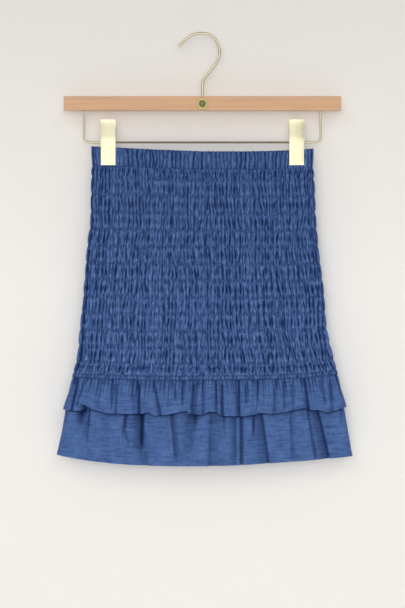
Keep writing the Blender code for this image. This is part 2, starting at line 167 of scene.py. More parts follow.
# The rows of stitching, and how thick their thread is
Stitch = namedtuple("Stitch", "length gap radius")
BODY_STITCH = Stitch(0.0019, 0.0011, 0.00020)
STRIP_STITCH = Stitch(0.0021, 0.0009, 0.00022)
HEM_STITCH = Stitch(0.0024, 0.0008, 0.00020)

TIER_COLUMNS = {FRONT: 380, BACK: 300}
RUFFLE_TIER_ROWS = 46
FLOUNCE_TIER_ROWS = 66
RUFFLE_SEED = 51
FLOUNCE_SEED = 61
BACK_SHIFT = 0.011
BACK_DEPTH = 0.85

# A fold's valley runs from its start to its end, both as shares of the way from the strip to the hem.
# Left and right are its widths on its two sides: a narrow one is a sharp crease, a wide one a soft slope
Valley = namedtuple("Valley", "begin finish left right depth start end", defaults=(0.0, 1.0))


def valleys_of(*rows):
    """Valleys from rows with their sizes in millimetres."""
    return [Valley(*(size / 1000 for size in row[:5]), *row[5:]) for row in rows]


FLOUNCE_VALLEYS = valleys_of(
    (-169.0, -170.0, 10.5, 9.5, 10.5, 0.10, 0.47),
    (-168.0, -166.0, 10.0, 10.0, 12.0, 0.15, 0.38),
    (-157.5, -161.2, 15.0, 3.0, 5.0, 0.28, 0.66),
    (-134.0, -138.0, 12.0, 12.0, 2.2),
    (-106.5, -110.4, 3.5, 7.0, 4.4, 0.34, 0.58),
    (-110.4, -105.5, 7.0, 3.5, 4.0, 0.59, 0.69),
    (-83.8, -85.0, 6.0, 6.0, 6.0, 0.24, 0.74),
    (-83.5, -85.8, 22.0, 4.5, 11.0, 0.20, 0.76),
    (-85.0, -80.0, 16.0, 12.0, 5.0, 0.55, 1.0),
    (-44.9, -37.2, 4.5, 12.0, 5.2, 0.25, 0.86),
    (-12.0, -19.0, 20.0, 14.0, 6.0, 0.00, 0.74),
    (-8.5, -12.0, 21.0, 8.5, 10.5, 0.10, 0.48),
    (16.0, 12.5, 9.0, 26.0, 5.6),
    (30.0, 30.0, 4.0, 5.0, 3.0, 0.30, 0.54),
    (45.5, 45.5, 11.0, 3.5, 4.0, 0.15, 0.92),
    (54.1, 54.2, 4.0, 6.0, 4.6, 0.20, 1.0),
    (72.5, 71.9, 4.5, 4.5, 4.8, 0.30, 0.60),
    (79.5, 92.5, 23.0, 3.0, 7.2, 0.22, 1.0),
    (123.5, 126.0, 4.0, 11.0, 3.0, 0.30, 0.88),
    (146.0, 159.0, 3.5, 8.0, 3.6, 0.30, 1.0),
    (156.5, 177.5, 21.0, 3.5, 8.6, 0.22, 1.0),
    (193.7, 195.0, 5.0, 5.0, 2.4, 0.30, 0.52),
)
RUFFLE_VALLEYS = valleys_of(
    (-174.8, -183.8, 3.0, 4.5, 8.0, 0.05, 1.0),
    (-164.5, -176.5, 4.5, 3.0, 5.0, 0.05, 0.80),
    (-172.2, -172.2, 7.0, 4.2, 9.0, 0.80, 1.0),
    (-144.2, -149.0, 8.0, 8.0, 3.0),
    (-126.3, -127.5, 3.5, 7.0, 3.6, 0.00, 0.80),
    (-120.2, -121.0, 7.0, 3.5, 3.6, 0.10, 1.0),
    (-96.5, -95.0, 6.0, 9.0, 4.0),
    (-89.3, -88.5, 8.0, 4.0, 7.0, 0.05, 1.0),
    (-68.1, -58.3, 9.0, 3.5, 5.8, 0.05, 1.0),
    (-41.4, -37.2, 3.5, 6.0, 3.2, 0.10, 0.55),
    (-29.0, -28.5, 3.5, 6.0, 3.0, 0.00, 0.75),
    (-12.5, -11.8, 4.0, 8.0, 6.4, 0.05, 1.0),
    (0.8, 1.0, 4.0, 6.0, 3.8),
    (18.5, 19.5, 7.0, 4.0, 4.2),
    (27.2, 28.4, 7.0, 3.2, 6.4, 0.05, 1.0),
    (50.9, 51.2, 9.0, 3.5, 7.2, 0.00, 1.0),
    (60.7, 61.5, 3.5, 5.0, 3.6, 0.10, 0.62),
    (77.3, 75.5, 4.0, 8.0, 5.0),
    (102.2, 100.0, 3.5, 8.0, 4.0, 0.02, 1.0),
    (113.0, 115.0, 3.5, 6.0, 3.8, 0.05, 0.85),
    (126.2, 127.5, 6.0, 6.0, 3.2, 0.10, 1.0),
    (143.0, 149.0, 10.0, 4.0, 8.0, 0.00, 1.0),
    (165.6, 172.6, 5.0, 3.5, 4.4, 0.05, 0.72),
    (179.0, 181.5, 6.0, 6.0, 3.8, 0.10, 1.0),
)
# How far the ruffle's hem hangs below the hook, from its left end to its right
RUFFLE_HEM = (
    (-0.1943, 0.5277), (-0.1829, 0.5293), (-0.1725, 0.5290), (-0.1690, 0.5140), (-0.1554, 0.5265),
    (-0.1315, 0.5324), (-0.1062, 0.5331), (-0.0836, 0.5324), (-0.0759, 0.5300), (-0.0681, 0.5353),
    (-0.0484, 0.5339), (-0.0230, 0.5277), (-0.0140, 0.5330), (0.0008, 0.5339), (0.0089, 0.5293),
    (0.0191, 0.5300), (0.0256, 0.5353), (0.0572, 0.5362), (0.0698, 0.5339), (0.0776, 0.5300),
    (0.0959, 0.5331), (0.1093, 0.5314), (0.1431, 0.5246), (0.1508, 0.5277), (0.1614, 0.5277),
    (0.1768, 0.5314), (0.1937, 0.5255), (0.2005, 0.5222),
)
# Places where the ruffle doubles over itself towards its hem; facing is the side that lies in front
Lap = namedtuple("Lap", "place half_width overlap lift facing")
RUFFLE_LAPS = (
    Lap(-0.1680, 0.0034, 0.0094, 0.0060, 1),
    Lap(-0.0185, 0.0034, 0.0058, 0.0040, -1),
    Lap(0.0770, 0.0034, 0.0052, 0.0036, 1),
)
# How wide the painted dark line along a fold's crease is, and how narrow a valley is painted at its
# darkest
CREASE_REACH = 0.0020
NARROW_VALLEY = 0.0050
TIER_CLOTH_MAX = 0.0013
RUFFLE_START_OUT = 0.0026
RUFFLE_STAND = 0.0062
FLOUNCE_SPACING = 0.0060
RUFFLE_SPACING = 0.0044
FLOUNCE_GATHER_DEPTH = 0.0010
RUFFLE_GATHER_DEPTH = 0.0018
GATHER_CREASE = 0.0010
# How far the two tiers reach under the strip
FLOUNCE_TUCK = 0.0006
RUFFLE_TUCK = 0.0008
# How far each tier's broad swells and its soft ripples stand up
FLOUNCE_SWELL = (0.0014, 0.0005)
RUFFLE_SWELL = (0.0013, 0.0006)
# How far the flounce may swell under the ruffle, and how much farther where it hangs free
UNDER_RUFFLE_SWELL = 0.0001
FREE_SWELL = 0.003
# The ruffle's painted shadow on the flounce: how far below the ruffle's hem it begins to fade, and its
# reach
SHADOW_START = 0.0006
SHADOW_REACH = (0.0019, 0.0060)
RUFFLE_NEAREST = 0.0019
RUFFLE_SEAM_DENT = 0.0006
# How far down the ruffle the painted shade under the strip reaches
RUFFLE_SEAM_REACH = 0.0013
RUFFLE_HELD_REACH = 0.0045
RUFFLE_SIDE_STAND = 0.0021
RUFFLE_SIDE_DENT = 0.0006
HEM_ROUNDING = 0.0022
HEM_FOLD_EDGE = 0.0006
RUFFLE_HEM_LEVEL = 0.53
RUFFLE_HEM_FOLD = 0.90
HEM_FOLD_HEIGHT = 0.005
HEM_FOLD_RISE = 0.0003
# A fold whose painted shade reaches this depth is painted as dark as the cloth can be
DARKEST_CUT = 0.0056
CLOSEST = 0.0004

BAR_TOP_DROP = 0.0872
BAR_HEIGHT = 0.020
BAR_DEPTH = 0.012
HOOK_RADIUS = 0.0020
HookPoint = namedtuple("HookPoint", "x z handles", defaults=("AUTO",))
HOOK_ROUTE = (
    HookPoint(0.0, -0.0869, "VECTOR"),
    HookPoint(0.0003, -0.0665, "VECTOR"),
    HookPoint(0.0042, -0.0598),
    HookPoint(0.0134, -0.0482),
    HookPoint(0.0208, -0.0373),
    HookPoint(0.0241, -0.0265),
    HookPoint(0.0215, -0.0128),
    HookPoint(0.0115, -0.0008),
    HookPoint(0.0, 0.0020),
    HookPoint(-0.0115, 0.0006),
    HookPoint(-0.0215, -0.0052),
    HookPoint(-0.0345, -0.0169, "VECTOR"),
)
ROSETTE_DROP = 0.0980
# Half of each turned piece's section, as (distance from its axis, distance in front of the bar)
ROSETTE_SECTION = (
    (0.0080, 0.0003), (0.0080, 0.0011), (0.0078, 0.0016), (0.0073, 0.0019), (0.0062, 0.0019),
    (0.0057, 0.0017), (0.0054, 0.0010), (0.0052, 0.0008), (0.0, 0.0008),
)
SCREW_SECTION = (
    (0.0046, 0.0011), (0.0046, 0.0019), (0.0044, 0.0021), (0.0036, 0.0025), (0.0022, 0.0028),
    (0.0, 0.0029),
)
WIRE_RADIUS = 0.0015
WIRE_ROUGHNESS = 0.26
WIRE_HALF_WIDTH = 0.1665
WIRE_DROP = 0.1516
WIRE_BEND = 0.0065
CLIP_WIDTH = 0.0206
CLIP_PLATE = 0.0012
# The inner face of a clip's plate, from the jaw's tip up to the handle's end
ClipRow = namedtuple("ClipRow", "drop distance")
CLIP_PROFILE = (
    ClipRow(0.1829, 0.0038),
    ClipRow(0.1561, 0.0050),
    ClipRow(0.1471, 0.0053),
    ClipRow(0.1205, 0.0104),
)
CLIP_ROWS = 40
CLIP_BEND = 0.0052
CLIP_EDGE = 0.0003
# The jaw's tip curls out, and the whole plate is a little arched from side to side
CLIP_CURL = 0.0006
CLIP_CURL_HEIGHT = 0.0035
CLIP_ARCH = 0.0004
SPRING_RADIUS = 0.0046
SPRING_WIRE = 0.0006
SPRING_TURNS = 9
COIL_STEPS = 20
COIL_GAP = 0.0005
METAL_GAP = 0.0003
# How far below the rail's middle its painted dark reflection lies, and how far from there it begins and
# ends to fade
REFLECTION_LINE_DROP = 0.0002
REFLECTION_LINE_EDGE = (0.0004, 0.0010)

WALL_PLACE = 0.036
WALL_TOP = 3.0
# The wall's painted shade deepens from the lower to the upper of these heights
WALL_SHADE = (-0.36, 0.06)
FLOOR_DROP = 1.7
STAGE_REACH = 6.0
CAMERA_DISTANCE = 2.5
CAMERA_LENS = 105.1
VIEW_CENTRE = (0.0001, 0.0, -0.3793)
LIGHT_AIM = (0.0, 0.0, -0.5)
LIGHT_COLOUR = (1.0, 0.985, 0.96)
ROOM_COLOUR = (1.0, 0.985, 0.965, 1)
# Each round light's place and width. The fill light is kept out of the brass
LIGHTS = {
    "left": ((-1.1, -3.1, 1.2), 1.4),
    "right": ((1.1, -3.1, 1.2), 1.4),
    "front": ((-0.2, -3.9, 0.0), 3.0),
    "fill": ((-0.1, -3.9, -0.2), 1.4),
    "back": ((0.6, 3.4, 0.6), 2.6),
}


def length_property(name, description, default, least, most):
    return FloatProperty(name=name, description=description, default=default, min=least, max=most,
                         subtype="DISTANCE", unit="LENGTH")


def colour_property(name, description, default):
    return FloatVectorProperty(name=name, description=description, default=default, size=3, min=0.0,
                               max=1.0, subtype="COLOR")


def light_property(name, description, default):
    return FloatProperty(name=name, description=description, default=default, min=0.0)


class ClothSettings(PropertyGroup):
    puff_rise: length_property(
        "Puff height", "How far the smocked folds stand up between two rows of stitching",
        0.0031, 0.0005, 0.006)
    row_rise: length_property(
        "Height at a row", "How far the folds stand up where a row of stitching holds them",
        0.0010, 0.0, 0.003)
    fold_spacing: length_property(
        "Fold spacing", "Mean distance between the small folds of the smocked panels",
        0.0048, 0.002, 0.02)
    cloth_thickness: length_property(
        "Cloth thickness", "Thickness of the two hanging tiers", 0.0008, 0.0003, 0.002)
    smocked: colour_property(
        "Smocked denim", "Colour of the denim on the ridges of the smocked folds",
        (0.077, 0.154, 0.384))
    denim: colour_property(
        "Denim", "Colour of the chambray denim of the two tiers", (0.059, 0.124, 0.326))
    thread: colour_property("Thread", "Colour of the sewing thread", (0.050, 0.100, 0.252))


class HangerSettings(PropertyGroup):
    beech: colour_property("Beech", "Colour of the hanger's wooden bar", (0.605, 0.356, 0.201))
    brass: colour_property("Brass", "Colour of the clips and their springs", (0.700, 0.676, 0.480))
    wire_brass: colour_property("Wire brass", "Colour of the hook and the rail", (0.676, 0.614, 0.440))
    old_brass: colour_property("Old brass", "Colour of the rosette and its screw", (0.58, 0.52, 0.24))
    brass_roughness: FloatProperty(
        name="Brass roughness", description="How soft the brass plating's reflections are",
        default=0.28, min=0.05, max=1.0)


class StageSettings(PropertyGroup):
    wall: colour_property("Wall", "Colour of the wall and of the floor", (0.87, 0.860, 0.840))
    sky: light_property("Room light", "Strength of the even light of the room", 0.36)
    left_power: light_property("Left light", "Watts of the soft light at the viewer's left", 9.5)
    right_power: light_property("Right light", "Watts of the soft light at the viewer's right", 8.5)
    front_power: light_property("Front light", "Watts of the large light behind the viewer", 30.0)
    fill_power: light_property("Fill light", "Watts of the light beside the camera", 41.0)
    back_power: light_property("Back light", "Watts of the light behind the wall", 90.0)


def smoothstep(low, high, value):
    share = np.clip((value - low) / (high - low), 0, 1)
    return share * share * (3 - 2 * share)


def hill(offset, width):
    """1 where the offset is 0, falling softly to 0 on both sides."""
    return np.exp(-(offset / width) ** 2)


def rounded(place, places, values, reach, count):
    """The values read off at a place, with their corners rounded over this reach on both sides."""
    return np.mean([np.interp(place + shift, places, values)
                    for shift in np.linspace(-reach, reach, count)], axis=0)


def blended_rings():
    """The rings at every millimetre of drop, with the corners between them rounded off."""
    table = np.array(RINGS)
    drops = np.arange(RINGS[0].drop, RINGS[-1].drop + RING_STEP / 2, RING_STEP)
    blend = np.ones(2 * RING_BLEND + 1) / (2 * RING_BLEND + 1)
    columns = {}
    for index, field in enumerate(Ring._fields):
        line = np.interp(drops, table[:, 0], table[:, index])
        line = np.pad(line, RING_BLEND, mode="reflect", reflect_type="odd")
        columns[field] = np.convolve(line, blend, mode="valid")
    columns["drop"] = drops
    return columns


RING_COLUMNS = blended_rings()


def ring_value(field, drop):
    return np.interp(drop, RING_COLUMNS["drop"], RING_COLUMNS[field])


def lift_at(x, drop):
    """How far the cloth rises above its drop towards its two side seams."""
    left = np.abs(x / ring_value("left", drop)) ** ring_value("power_left", drop)
    right = np.abs(x / ring_value("right", drop)) ** ring_value("power_right", drop)
    return np.where(x < 0, ring_value("lift_left", drop) * left, ring_value("lift_right", drop) * right)


def side_turn(across):
    """How far a column is turned to the front: 0 at a side seam, a quarter turn over the middle."""
    return np.minimum(np.minimum(across, 3 - across), 1) * np.pi / 2


def ring_point(across, drop, out, side):
    """Points at a distance outside a panel's plain inner face.

    Across is 0 at the left seam, 1 to 2 over the broad middle and 3 at the right seam.
    """
    radius = ring_value("side_radius", drop)
    left = ring_value("left", drop) + radius
    right = ring_value("right", drop) - radius
    share = np.clip(across - 1, 0, 1)
    crown = np.sin(np.pi * share) ** ring_value("fullness", drop)
    turn = side_turn(across)
    x = left + (right - left) * share
    x = np.where(across < 1, left - (radius + out) * np.cos(turn), x)
    x = np.where(across > 2, right + (radius + out) * np.cos(turn), x)
    y = (radius + out + HALF_GAP) * np.sin(turn) + (ring_value("depth", drop) - radius) * crown
    z = lift_at(x, drop) - drop
    return np.stack(np.broadcast_arrays(x, side * y, z), axis=-1)


def column_x(across, drop):
    """Where a column lies from left to right on the plain inner face."""
    return ring_point(across, drop, 0.0, FRONT)[..., 0]


def columns_of(count):
    """Places across a panel, evenly spaced over its middle and round its two sides."""
    turn = np.linspace(0, 1, SIDE_COLUMNS, endpoint=False)
    return np.concatenate([turn, np.linspace(1, 2, count), 3 - turn[::-1]])


def panel_start(seed, side, count):
    """A panel's random numbers, its columns, and where they lie on the width of the folds."""
    across = columns_of(count)
    middle = (across - 1.5) * 2 * HALF_WIDTH
    left = (across - 1) * SIDE_REACH - HALF_WIDTH
    right = (across - 2) * SIDE_REACH + HALF_WIDTH
    along = np.where(across < 1, left, np.where(across > 2, right, middle))
    return np.random.default_rng(seed + (side == BACK)), across, along


def side_fade(across):
    """1 over the broad middle of a panel, falling smoothly to 0 at its side seams."""
    return np.sin(side_turn(across)) ** 2


def patches(rng, along, down, wide, high):
    """Smooth random values from -1 to 1 over a panel, in patches about this wide and high."""
    u = (along - along.min()) / wide
    v = (down - down.min()) / high
    grid = rng.uniform(-1, 1, (int(v.max()) + 3, int(u.max()) + 3))
    column = u.astype(int)
    row = v.astype(int)
    along_ease = smoothstep(0, 1, u - column)
    down_ease = smoothstep(0, 1, v - row)[:, None]
    upper = grid[row][:, column] * (1 - along_ease) + grid[row][:, column + 1] * along_ease
    lower = grid[row + 1][:, column] * (1 - along_ease) + grid[row + 1][:, column + 1] * along_ease
    return upper * (1 - down_ease) + lower * down_ease


# The small folds of a gathered panel: where each one lies and how deep it is, level by level, and the
# share of the way between two levels where it opens and closes
Gathers = namedtuple("Gathers", "places level_depths band_depths opens closes")
HELD_DEPTH = 0.65


def draw_gathers(rng, spacing, levels, sway, jitter):
    """Draws small folds that run down a panel, lean, come together and fade, from level to level."""
    width = 2 * (HALF_WIDTH + SIDE_REACH)
    count = int(width / spacing)
    gaps = rng.uniform(0.7, 1.3, count + 1)
    base = np.cumsum(gaps)[:-1] / gaps.sum() * width - width / 2
    places = np.empty((levels, count))
    drift = np.zeros(count)
    first_phase, second_phase = rng.uniform(0, 2 * np.pi, 2)
    for level in range(levels):
        drift = 0.30 * drift + rng.normal(0, jitter * spacing, count)
        swayed = np.sin(base * 38 + level * 0.9 + first_phase)
        swayed += 0.6 * np.sin(base * 91 - level * 1.7 + second_phase)
        places[level] = np.sort(base + drift + sway * swayed)
    lasting = rng.random(count)
    strength = 0.66 * lasting + 0.34 * rng.random((levels - 1, count))
    band_depths = 0.58 + 0.40 * smoothstep(0.25, 0.75, strength)
    level_depths = 0.14 + 0.26 * rng.random((levels, count))
    level_depths[:-1] += 0.16 * band_depths
    level_depths[1:] += 0.16 * band_depths
    opens = rng.uniform(0.02, 0.24, (levels - 1, count))
    closes = rng.uniform(0.76, 0.98, (levels - 1, count))
    return Gathers(places, level_depths, band_depths, opens, closes)


def fold_height(along, places, depths, crease):
    """How high the cloth stands between its valleys: 1 on a ridge, less in a valley.

    Each valley is a narrow crease of this width in the middle of a wide, rounded dip.
    """
    crease = np.broadcast_to(crease, places.shape)
    gaps = np.diff(places)
    before = np.concatenate([gaps[:1], gaps])
    after = np.concatenate([gaps, gaps[-1:]])
    nearest = np.searchsorted(places, along)
    height = np.ones(len(along))
    for offset in (-2, -1, 0, 1):
        which = np.clip(nearest + offset, 0, len(places) - 1)
        distance = along - places[which]
        reach = np.where(distance < 0, before[which], after[which])
        reach = np.maximum(reach, NARROWEST_FOLD) * (0.55 + 0.40 * depths[which])
        share = np.minimum(np.abs(distance) / reach, 1)
        narrow = hill(distance, crease[which])
        height *= 1 - depths[which] * (0.62 * narrow + 0.38 * (1 - share) ** 1.6)
    return height


def gathered_height(along, drops, levels, gathers, crease):
    """The height of a gathered panel's folds at each drop, held flatter at each level."""
    height = np.empty((len(drops), len(along)))
    for index, drop in enumerate(drops):
        band = int(np.clip(np.searchsorted(levels, drop, side="right") - 1, 0, len(levels) - 2))
        share = float(np.clip((drop - levels[band]) / (levels[band + 1] - levels[band]), 0, 1))
        ease = smoothstep(0, 1, share)
        places = gathers.places[band] * (1 - ease) + gathers.places[band + 1] * ease
        held = gathers.level_depths[band] * (1 - share) + gathers.level_depths[band + 1] * share
        run = (share - gathers.opens[band]) / (gathers.closes[band] - gathers.opens[band])
        free = np.sqrt(np.clip(4 * run * (1 - run), 0, 1))
        depths = HELD_DEPTH * held * (1 - free) + gathers.band_depths[band] * free
        height[index] = fold_height(along, places, depths, crease * (0.65 + 0.45 * free))
    return height


def lengths_along(points, axis):
    """The cloth's own length from the first row or column to each point."""
    steps = np.linalg.norm(np.diff(points, axis=axis), axis=-1)
    start = np.zeros_like(np.take(steps, [0], axis=axis))
    return np.concatenate([start, np.cumsum(steps, axis=axis)], axis=axis)


def flat_grid(columns, rows):
    """A flat grid of this many faces, one metre wide and high."""
    bm = bmesh.new()
    bmesh.ops.create_grid(bm, x_segments=columns, y_segments=rows, size=0.5)
    return bm


def finished_mesh(name, bm, sharp_angle=None):
    """The smooth mesh of a bmesh, sharp at edges that turn by more than this angle in degrees."""
    mesh = bpy.data.meshes.new(name)
    bm.to_mesh(mesh)
    bm.free()
    mesh.shade_smooth()
    if sharp_angle:
        mesh.set_sharp_from_angle(angle=math.radians(sharp_angle))
    return mesh


def add_object(name, data):
    obj = bpy.data.objects.new(name, data)
    bpy.context.scene.collection.objects.link(obj)
    return obj


def add_piece(name, mesh, material, slot, *nodes):
    """An object of this mesh that rides on the body and stands for the named solids."""
    obj = add_object(name, mesh)
    mesh.materials.clear()
    mesh.materials.append(material)
    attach(obj, "root")
    if nodes:
        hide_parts(*nodes)
    return obj


def add_cloth(name, points, relief, held, side, material, slot):
    """A sheet of cloth on a grid of points, row 0 on top, with its own lengths as its UV map.

    The painted light is 1 on a ridge and 0 in the deepest painted shade of a valley. Held is 1 where
    stitching gathers the cloth.
    The sheet stands for the solid of the same name.
    """
    held = held + np.zeros_like(relief)
    if side == BACK:
        points, relief, held = points[:, ::-1], relief[:, ::-1], held[:, ::-1]
    rows, columns = points.shape[:2]
    mesh = finished_mesh(name, flat_grid(columns - 1, rows - 1))
    flat = np.empty(len(mesh.vertices) * 3)
    mesh.vertices.foreach_get("co", flat)
    flat = flat.reshape(-1, 3)
    column = np.rint((flat[:, 0] + 0.5) * (columns - 1)).astype(int)
    row = np.rint((0.5 - flat[:, 1]) * (rows - 1)).astype(int)
    mesh.vertices.foreach_set("co", points[row, column].ravel())
    along = lengths_along(points, 1).mean(axis=0) + np.zeros((rows, 1))
    along -= along[:, columns // 2][:, None]
    down = lengths_along(points, 0).mean(axis=1)[:, None] + np.zeros(columns)
    corner = np.empty(len(mesh.loops), int)
    mesh.loops.foreach_get("vertex_index", corner)
    uv = np.stack([along[row, column], -down[row, column]], axis=-1)[corner]
    mesh.uv_layers.new(name="Cloth").data.foreach_set("uv", uv.ravel())
    for field, values in (("relief", relief), ("held", held)):
        mesh.attributes.new(field, "FLOAT", "POINT").data.foreach_set("value", values[row, column])
    mesh.update()
    return add_piece(name, mesh, material, slot, name.removesuffix("_cloth"))


def thicken(obj, thickness):
    """Gives a sheet its thickness, on its inner side."""
    solid = obj.modifiers.new("cloth thickness", "SOLIDIFY")
    solid.thickness = thickness
    solid.offset = -1
    solid.use_quality_normals = True
    return obj


class Sewing:
    """Short stitches laid on the cloth, gathered into one mesh."""

    def __init__(self):
        self.bm = bmesh.new()

    def add(self, start, end, outward, radius):
        along = Vector(end - start)
        if along.length < 1e-6:
            return
        middle = Vector((start + end) / 2) + Vector(outward) * radius * 0.6
        across = along.cross(Vector(outward)).normalized()
        up = across.cross(along).normalized()
        place = Matrix((along / 2, across * radius, up * radius)).transposed().to_4x4()
        place.translation = middle
        bmesh.ops.create_icosphere(self.bm, subdivisions=1, radius=1, matrix=place)

    def row(self, points, places, place, side, stitch, start=0.0):
        """Stitches along the row of the cloth whose place is the nearest to this one."""
        row = int(np.argmin(np.abs(places - place)))
        outward = outward_of(points, side)[row]
        line = points[row]
        lengths = lengths_along(line, 0)
        at = start
        while at + stitch.length < lengths[-1]:
            ends = [np.array([np.interp(end, lengths, line[:, k]) for k in range(3)])
                    for end in (at, at + stitch.length)]
            middle = at + stitch.length / 2
            away = np.array([np.interp(middle, lengths, outward[:, k]) for k in range(3)])
            self.add(*ends, away / max(np.linalg.norm(away), 1e-9), stitch.radius)
            at += stitch.length + stitch.gap

    def finish(self, name, slot, cloth):
        bmesh.ops.recalc_face_normals(self.bm, faces=self.bm.faces[:])
        thread = finish_called("sewing thread", sewing_thread, tuple(cloth.thread))
        return add_piece(name, finished_mesh(name, self.bm), thread, slot)


def outward_of(points, side):
    """The direction out of the cloth at each point of its grid."""
    along = np.gradient(points, axis=1)
    down = np.gradient(points, axis=0)
    normal = np.cross(along, -down)
    normal /= np.maximum(np.linalg.norm(normal, axis=-1, keepdims=True), 1e-12)
    return normal if side == FRONT else -normal


class Finish:
    """A node-based material under construction."""

    def __init__(self, name, **sockets):
        self.material = bpy.data.materials.new(name)
        self.material.use_nodes = True
        self.tree = self.material.node_tree
        self.shader = self.tree.nodes["Principled BSDF"]
        self.set(self.shader, sockets)

    def set(self, node, sockets):
        for key, value in sockets.items():
            socket = node.inputs[key.replace("_", " ") if isinstance(key, str) else key]
            if isinstance(value, bpy.types.NodeSocket):
                self.tree.links.new(value, socket)
            else:
                socket.default_value = value

    def add(self, kind, sockets=None, **settings):
        node = self.tree.nodes.new("ShaderNode" + kind)
        for key, value in settings.items():
            setattr(node, key, value)
        self.set(node, sockets or {})
        return node

    def math(self, operation, *values):
        node = self.add("Math", operation=operation)
        self.set(node, dict(enumerate(values)))
        return node.outputs[0]

    def sum_of(self, total, *shares):
        """The total with each value added to it, times the value's share."""
        for value, share in shares:
            total = self.math("MULTIPLY_ADD", value, share, total)
        return total

    def place(self):
        return self.add("TexCoord").outputs["Object"]

    def noise(self, vector, scale, detail=2.0, roughness=0.5):
        """Noise whose patches have the size 1 / scale along each axis, centred on 0."""
        placed = self.add("Mapping", {"Vector": vector, "Scale": scale})
        noise = self.add("TexNoise", {"Vector": placed.outputs[0], "Scale": 1.0, "Detail": detail,
                                      "Roughness": roughness})
        return self.math("SUBTRACT", noise.outputs[0], 0.5)

    def blend(self, factor, first, second):
        """The way from one colour to another, each a plain colour or a socket."""
        ends = {key: value if isinstance(value, bpy.types.NodeSocket) else (*value, 1)
                for key, value in ((6, first), (7, second))}
        return self.add("Mix", {0: factor, **ends}, data_type="RGBA").outputs[2]

    def paint(self, colour, **sockets):
        self.set(self.shader, {"Base_Color": colour, **sockets})

    def bump(self, height, distance, strength=1.0):
        bump = self.add("Bump", {"Height": height, "Distance": distance, "Strength": strength})
        self.set(self.shader, {"Normal": bump.outputs[0]})


def shade_of(colour, factor):
    return tuple(min(channel * factor, 1) for channel in colour)


def tinted(colour, shares):
    return tuple(channel * share for channel, share in zip(colour, shares))


THREAD_PITCH = 0.00042
# The share of the cloth's red, green and blue in its palest and deepest threads, and in the painted
# shade of its hollows
PALE_THREAD = (1.85, 1.62, 1.46)
DEEP_THREAD = (0.42, 0.50, 0.58)
HOLLOW_SHADE = (0.02, 0.10, 0.22)


def chambray(name, colour, slubs, hollows, wrinkles):
    """Plain-woven denim with pale weft slubs, on the cloth's own UV map in metres."""
    made = Finish(name, Roughness=0.88, Specular_IOR_Level=0.12, Sheen_Weight=0.05,
                  Sheen_Roughness=0.45)
    made.shader.inputs["Sheen Tint"].default_value = (0.62, 0.72, 0.95, 1)
    uv = made.add("UVMap", uv_map="Cloth").outputs[0]
    relief = made.add("Attribute", attribute_name="relief").outputs["Fac"]
    held = made.add("Attribute", attribute_name="held").outputs["Fac"]
    wrinkle = made.noise(uv, (430, 100, 1), 1.0, 0.65)
    pucker = made.noise(uv, (260, 330, 1), 1.0, 0.5)
    weft = made.noise(uv, (65, 430, 1), 3.0, 0.6)
    long_weft = made.noise(uv, (24, 210, 1), 2.0, 0.55)
    warp = made.noise(uv, (1700, 70, 1), 2.0, 0.5)
    mottle = made.noise(uv, (55, 55, 1), 3.0, 0.6)
    parts = made.add("SeparateXYZ", {0: uv})
    threads = [made.math("SINE", made.math("MULTIPLY", parts.outputs[axis], math.pi / THREAD_PITCH))
               for axis in (0, 1)]
    weave = made.math("MULTIPLY", *threads)
    # Besides the weave's own tone, the wrinkle noise paints light and dark streaks: painted shading of
    # fine wrinkles, strongest where stitching holds the cloth
    factor = made.sum_of(0.5, (weft, slubs), (long_weft, slubs * 0.6), (warp, 0.5),
                         (mottle, slubs * 0.62), (weave, 0.08),
                         (wrinkle, made.sum_of(wrinkles, (held, 0.8))))
    woven = made.blend(factor, tinted(colour, DEEP_THREAD), tinted(colour, PALE_THREAD))
    # Painted shade: small painted dark puckers where stitching holds the cloth, and the colour turned
    # towards the hollow shade where the cloth's painted light is low
    pucker_shade = made.add("Clamp", {0: made.math("MULTIPLY", pucker, 8.0)}).outputs[0]
    pucker_shade = made.math("MULTIPLY", pucker_shade, held)
    unshaded_share = made.math("MULTIPLY", relief, made.sum_of(1.0, (pucker_shade, -0.50)))
    shade = made.sum_of(1 - hollows, (made.math("POWER", unshaded_share, 0.9), hollows))
    made.paint(made.blend(shade, tinted(colour, HOLLOW_SHADE), woven))
    made.bump(made.sum_of(weave, (weft, 1.2), (wrinkle, wrinkles * 2.0)), 0.00007, strength=0.8)
    return made.material


def sewing_thread(name, colour):
    """Twisted tonal thread."""
    made = Finish(name, Roughness=0.8, Specular_IOR_Level=0.2)
    twist = made.noise(made.place(), (2400, 2400, 2400), 1.0)
    made.paint(made.blend(made.math("ADD", twist, 0.5), shade_of(colour, 0.75), shade_of(colour, 1.3)))
    made.bump(twist, 0.00005)
    return made.material


def oiled_beech(name, colour):
    """Pale beech with fine grain and short flecks along the bar."""
    made = Finish(name, Roughness=0.42, Coat_Weight=0.12, Coat_Roughness=0.35)
    place = made.place()
    bands = made.noise(place, (5, 180, 150), 3.0, 0.55)
    grain = made.noise(place, (28, 1400, 1100), 3.0, 0.6)
    fleck = made.math("GREATER_THAN", made.noise(place, (260, 1900, 1500), 1.0), 0.17)
    factor = made.sum_of(0.52, (bands, 1.1), (grain, 0.55), (fleck, -0.28))
    made.paint(made.blend(factor, shade_of(colour, 0.80), shade_of(colour, 1.16)))
    made.bump(made.sum_of(grain, (fleck, -0.5)), 0.00006, strength=0.6)
    return made.material


